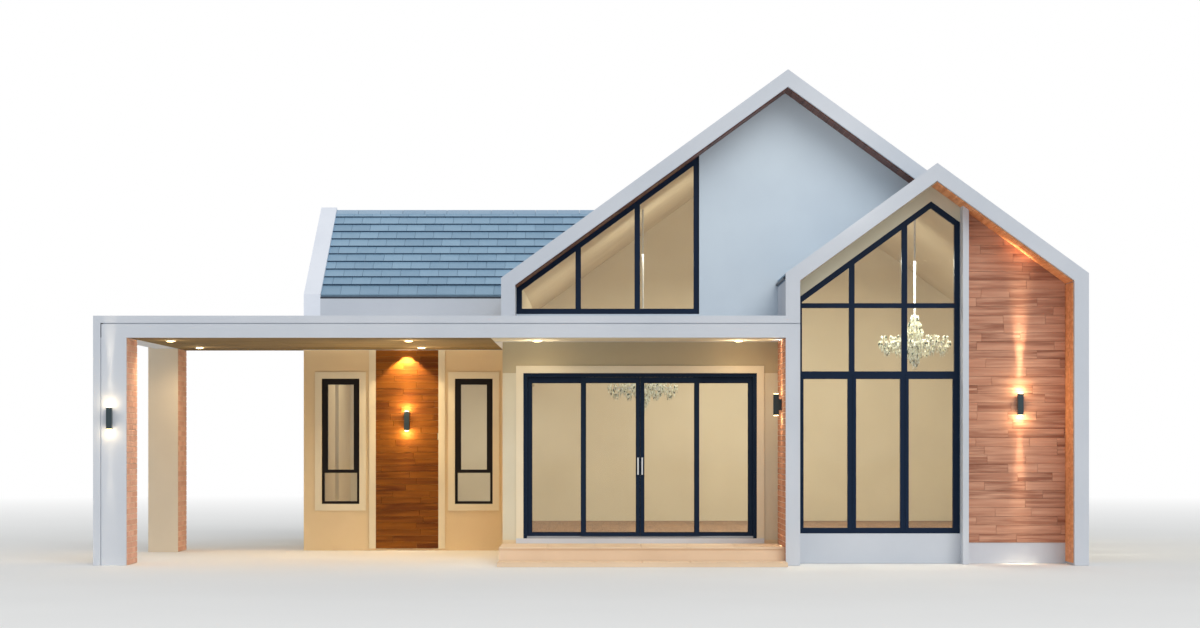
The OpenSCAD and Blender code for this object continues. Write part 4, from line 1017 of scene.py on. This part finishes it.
def roof_paint(node, axis, way, peak, slope):
    """A room's paint under a slab that falls from the peak, and a blue grey underlay on its top and eave."""
    low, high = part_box(node)
    fall, edge = way * slope, high[axis] if way > 0 else low[axis]
    over = beyond((fall, 0, 1) if axis == 0 else (0, fall, 1), high.z + peak * fall - 0.06)
    eave = beyond((way, 0, 0) if axis == 0 else (0, way, 0), way * edge - 0.02)
    return plaster(node + "_paint", *ROOM, other=DECK, past=either(over, eave))


by_node = {
    "porch_plinth": paving, "porch_step": paving,
    "surrounds": plaster("surround_paint", *TRIM, 0.6, 0.0004, WHITE, both(
        beyond(DOWN, -SURROUND_FOOT), beyond(RIGHT, x_main - 0.1))),
    "wing_front_wall": plaster("wing_front_paint", *CREAM, other=WHITE, past=beyond(UP, PARAPET_FOOT)),
    "wing_end_wall": plaster("wing_end_paint", *CREAM, other=BRIGHT, past=either(
        beyond((0, -tan_w, 1), band - y_wing_ridge * tan_w),
        beyond((0, tan_w, 1), band + y_wing_ridge * tan_w))),
    "floor_slab": plaster("base_paint", *CREAM, other=WHITE, past=both(
        both(beyond(RIGHT, x_bay), outside_gable),
        either(beyond(LEFT, HALF_WALL - right_wall[1].x), beyond(FRONT, -right_wall[0].y)))),
    "gable_wall": plaster("gable_paint", *ROOM, other=BLUE, past=outside_gable),
    "right_wall": two_sided("right_wall_paint", RIGHT, right_wall[1].x - HALF_WALL),
    "back_wall": two_sided("back_wall_paint", BACK, y_back - HALF_WALL),
    "wing_back_wall": two_sided("wing_back_paint", BACK, y_back - HALF_WALL),
    "left_wall": two_sided("left_wall_paint", LEFT, -x_main - HALF_WALL),
    "wing_lintel": plaster("room_paint", *ROOM),
    # The lintel's darker paint is painted shade under the porch ceiling; above the carport roof it is the
    # blue of the gable.
    "porch_lintel": plaster("lintel_painted_shade", *LINTEL_SHADE, other=BLUE, past=both(
        beyond(UP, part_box("carport_roof")[0].z + 0.04), outside_gable)),
    # The rear column, past the front one, is painted a warmer cream that stands for the ceiling lamps' light
    # on it: painted lamplight.
    "columns": plaster("column_paint", *WHITE, other=LAMPLIT_CREAM, past=beyond(BACK, columns[0].y + 2 * COLUMN_D)),
}
for node, axis, way, peak, slope in (
        ("main_roof_left", 0, -1, x_ridge, tan_p), ("main_roof_right", 0, 1, x_ridge, tan_p),
        ("bay_roof_left", 0, -1, x_bay_ridge, tan_p), ("bay_roof_right", 0, 1, x_bay_ridge, tan_p),
        ("wing_roof_front", 1, -1, y_wing_ridge, tan_w), ("wing_roof_back", 1, 1, y_wing_ridge, tan_w)):
    by_node[node] = roof_paint(node, axis, way, peak, slope)
for part in frame["record"]["subparts"]:
    node, slot_name = part["node"], part["material_slot"]
    material = by_node.get(node, by_slot.get(slot_name))
    if material is None:
        continue
    piece = frame["nodes"][node]
    if not piece.material_slots:
        piece.data.materials.append(material)
    for material_slot in piece.material_slots:
        material_slot.material = material

# %% [markdown]
# ## Floor, light and camera
# A pale floor and a white world make a plain studio. The world's light is even and soft, one large lamp in
# front gives the shapes their shade, small warm lamps stand where the house's own lamps are, and soft lamps
# light the rooms behind the glass.

# %% Floor
bpy.ops.mesh.primitive_plane_add(size=400, location=(0, 0, -0.002))
ground = bpy.context.object
ground.name = ground.data.name = "ground"
pale, shader, place = start_finish("ground_paper", 0.9)
feed(shader.inputs["Base Color"], blend(noise(place, 0.5, 2.0), (236, 236, 234), (240, 240, 238)))
away = add(place, "ShaderNodeVectorMath", {0: place}, operation="LENGTH").outputs["Value"]
direct = add(place, "ShaderNodeLightPath").outputs["Is Camera Ray"]
paper = add(place, "ShaderNodeEmission", {"Color": (1.0, 1.0, 1.0, 1.0), "Strength": 1.0})
mixed(maths("MULTIPLY", spread(away, 11.0, 42.0), direct), shader, paper, "Material Output")
ground.data.materials.append(pale)

# %% World
world = bpy.data.worlds.new("studio")
bpy.context.scene.world = world
world.use_nodes = True
path = add(world.node_tree, "ShaderNodeLightPath")
seen = maths("MAXIMUM", path.outputs["Is Camera Ray"], path.outputs["Is Glossy Ray"])
seen = maths("MAXIMUM", seen, path.outputs["Is Transmission Ray"])
soft = add(path, "ShaderNodeBackground", {"Color": (0.93, 0.96, 1.0, 1.0), "Strength": 0.60})
white = add(path, "ShaderNodeBackground", {"Color": (1.0, 1.0, 1.0, 1.0), "Strength": 1.0})
mixed(seen, soft, white, "World Output")

# %% Lamps
def lamp(name, kind, place, power, colour, aim=None, **settings):
    """A light, turned towards a point where one is given."""
    data = bpy.data.lights.new(name, kind)
    data.energy, data.color = power, colour
    for key, value in settings.items():
        setattr(data, key, value)
    light = bpy.data.objects.new(name, data)
    bpy.context.scene.collection.objects.link(light)
    light.location = place
    if aim is not None:
        light.rotation_euler = (Vector(aim) - Vector(place)).to_track_quat("-Z", "Y").to_euler()


def spot(name, place, power, colour, aim, angle, edge=1.0, size=0.02):
    """A spot lamp: its beam's angle in degrees and how soft the beam's edge is."""
    lamp(name, "SPOT", place, power, colour, aim, spot_size=math.radians(angle), spot_blend=edge,
         shadow_soft_size=size)


def area(name, place, power, colour, aim, wide, deep):
    """A soft rectangular lamp."""
    lamp(name, "AREA", place, power, colour, aim, shape="RECTANGLE", size=wide, size_y=deep)


WARM, MILD, TUBE_TINT, ROOM_TINT = (1.0, 0.76, 0.46), (1.0, 0.83, 0.60), (1.0, 0.82, 0.58), (1.0, 0.94, 0.80)
SKY = 9
lamp("key", "SUN", (16, -50, 36), 1.15, (1.0, 0.98, 0.95), (0, 0, 2), angle=math.radians(40))
for number, (x, y) in enumerate(spots):
    power, tint = (52, WARM) if x < x_main else (15, MILD)
    spot("ceiling_%d" % number, (x, y, rim_z - 0.04), power, tint, (x, y, 0), 164, size=0.04)
    halo = 9 if x > lights_x[0] else 3
    spot("ceiling_halo_%d" % number, (x, y, rim_z - 0.25), halo, MILD, (x, y, SKY), 165)
    lamp("ceiling_glow_%d" % number, "POINT", (x, y, rim_z - 0.06), 1.0, MILD, shadow_soft_size=0.02)
panel_y, wash_z = panel[0].y, rim_z - 0.03
spot("panel_wash", (panel_x, panel_y - 0.10, wash_z), 96, WARM, (panel_x, panel_y - 0.08, 0), 106, 0.35)
spot("panel_fill", (panel_x, panel_y - 0.50, wash_z), 90, WARM, (panel_x, panel_y, 1.6), 56)
area("ceiling_fill", (-2.8, -2.4, 1.9), 24, MILD, (-2.8, -2.4, SKY), 1.6, 2.4)

# %% Beams of the wall lamps
# Each beam: name, power in watts, angle in degrees and how far along the wall it aims.
near = (("middle", 12, 54, 3.0), ("narrow", 50, 26, 3.0))
beams = {
    "lamp_column": (("middle", 1.6, 54, 3.0), ("narrow", 9, 24, 3.0), ("short", 6, 15, 0.35),
                    ("reach", 140, 12, 1.8)),
    "lamp_panel": near,
    "lamp_porch": near + (("reach", 190, 14, 1.2),),
    "lamp_board": (("middle", 12, 54, 3.0), ("narrow", 50, 28, 3.0), ("short", 26, 17, 0.35),
                   ("reach", 430, 17, 1.8), ("far", 240, 10, 2.4)),
}
TUBE_OFF, TUBE_END, FREE, SHARP, LOWER_SHARE = 0.0755, 0.155, 3.0, 20, 0.4
halo_power = {"lamp_panel": 6.0, "lamp_column": 0.9, "lamp_porch": 1.8, "lamp_board": 3.4}
for name, (x, y, z), turn in lamp_places:
    off = Vector((0, -TUBE_OFF, 0))
    off.rotate(Matrix.Rotation(turn, 3, "Z"))
    tint = WARM if name == "lamp_panel" else TUBE_TINT
    for side in (-1, 1):
        start = Vector((x, y, z + side * TUBE_END)) + off
        for beam, power, angle, far in beams[name]:
            power *= LOWER_SHARE if side < 0 and angle < SHARP else 1.0
            aim = start + Vector((0, 0, side * far)) - (off if far < FREE else Vector((0, 0, 0)))
            spot("%s_%s_%d" % (name, beam, side), start, power, tint, aim, angle)
        lamp("%s_halo_%d" % (name, side), "POINT", start + off * 0.25 + Vector((0, 0, side * 0.03)),
             halo_power[name], WARM, shadow_soft_size=0.03)

# %% Lamps in the rooms
# Each lamp: name, place, power in watts, tint, aim, width and depth.
area("room_main", (2.6, 0.6, 4.4), 235, ROOM_TINT, (2.6, 0.6, 0), 4, 4)
area("room_vault", (2.6, -1.0, 3.6), 60, ROOM_TINT, (2.6, 4.9, 5.2), 3, 1)
area("gable_fill", (2.9, -5.4, 5.1), 6, (1.0, 0.93, 0.82), (3.5, -3.5, 5.1), 1.0, 0.6)
area("room_bay", (4.4, -2.6, 4.2), 105, ROOM_TINT, (4.4, -2.6, 0), 2, 1)
area("room_wing", (-2.7, 2.4, 3.6), 50, ROOM_TINT, (-2.7, 2.4, 0), 2, 2)
print("lamps", len(bpy.data.lights))

# %% Camera
data = bpy.data.cameras.new("camera")
camera = bpy.data.objects.new("camera", data)
bpy.context.scene.collection.objects.link(camera)
camera.location = (0.119, -41.185, 1.65)
camera.rotation_euler = (math.pi / 2, 0, 0)
data.sensor_width, data.lens = 36, 81.54
data.shift_y = 0.1058
data.clip_end = 300
bpy.context.scene.camera = camera
bpy.context.scene.view_settings.view_transform = "Standard"
print("camera", [round(v, 3) for v in camera.location], "lens", data.lens)

# %% Sizes and the end
print("triangles", sum(triangles))
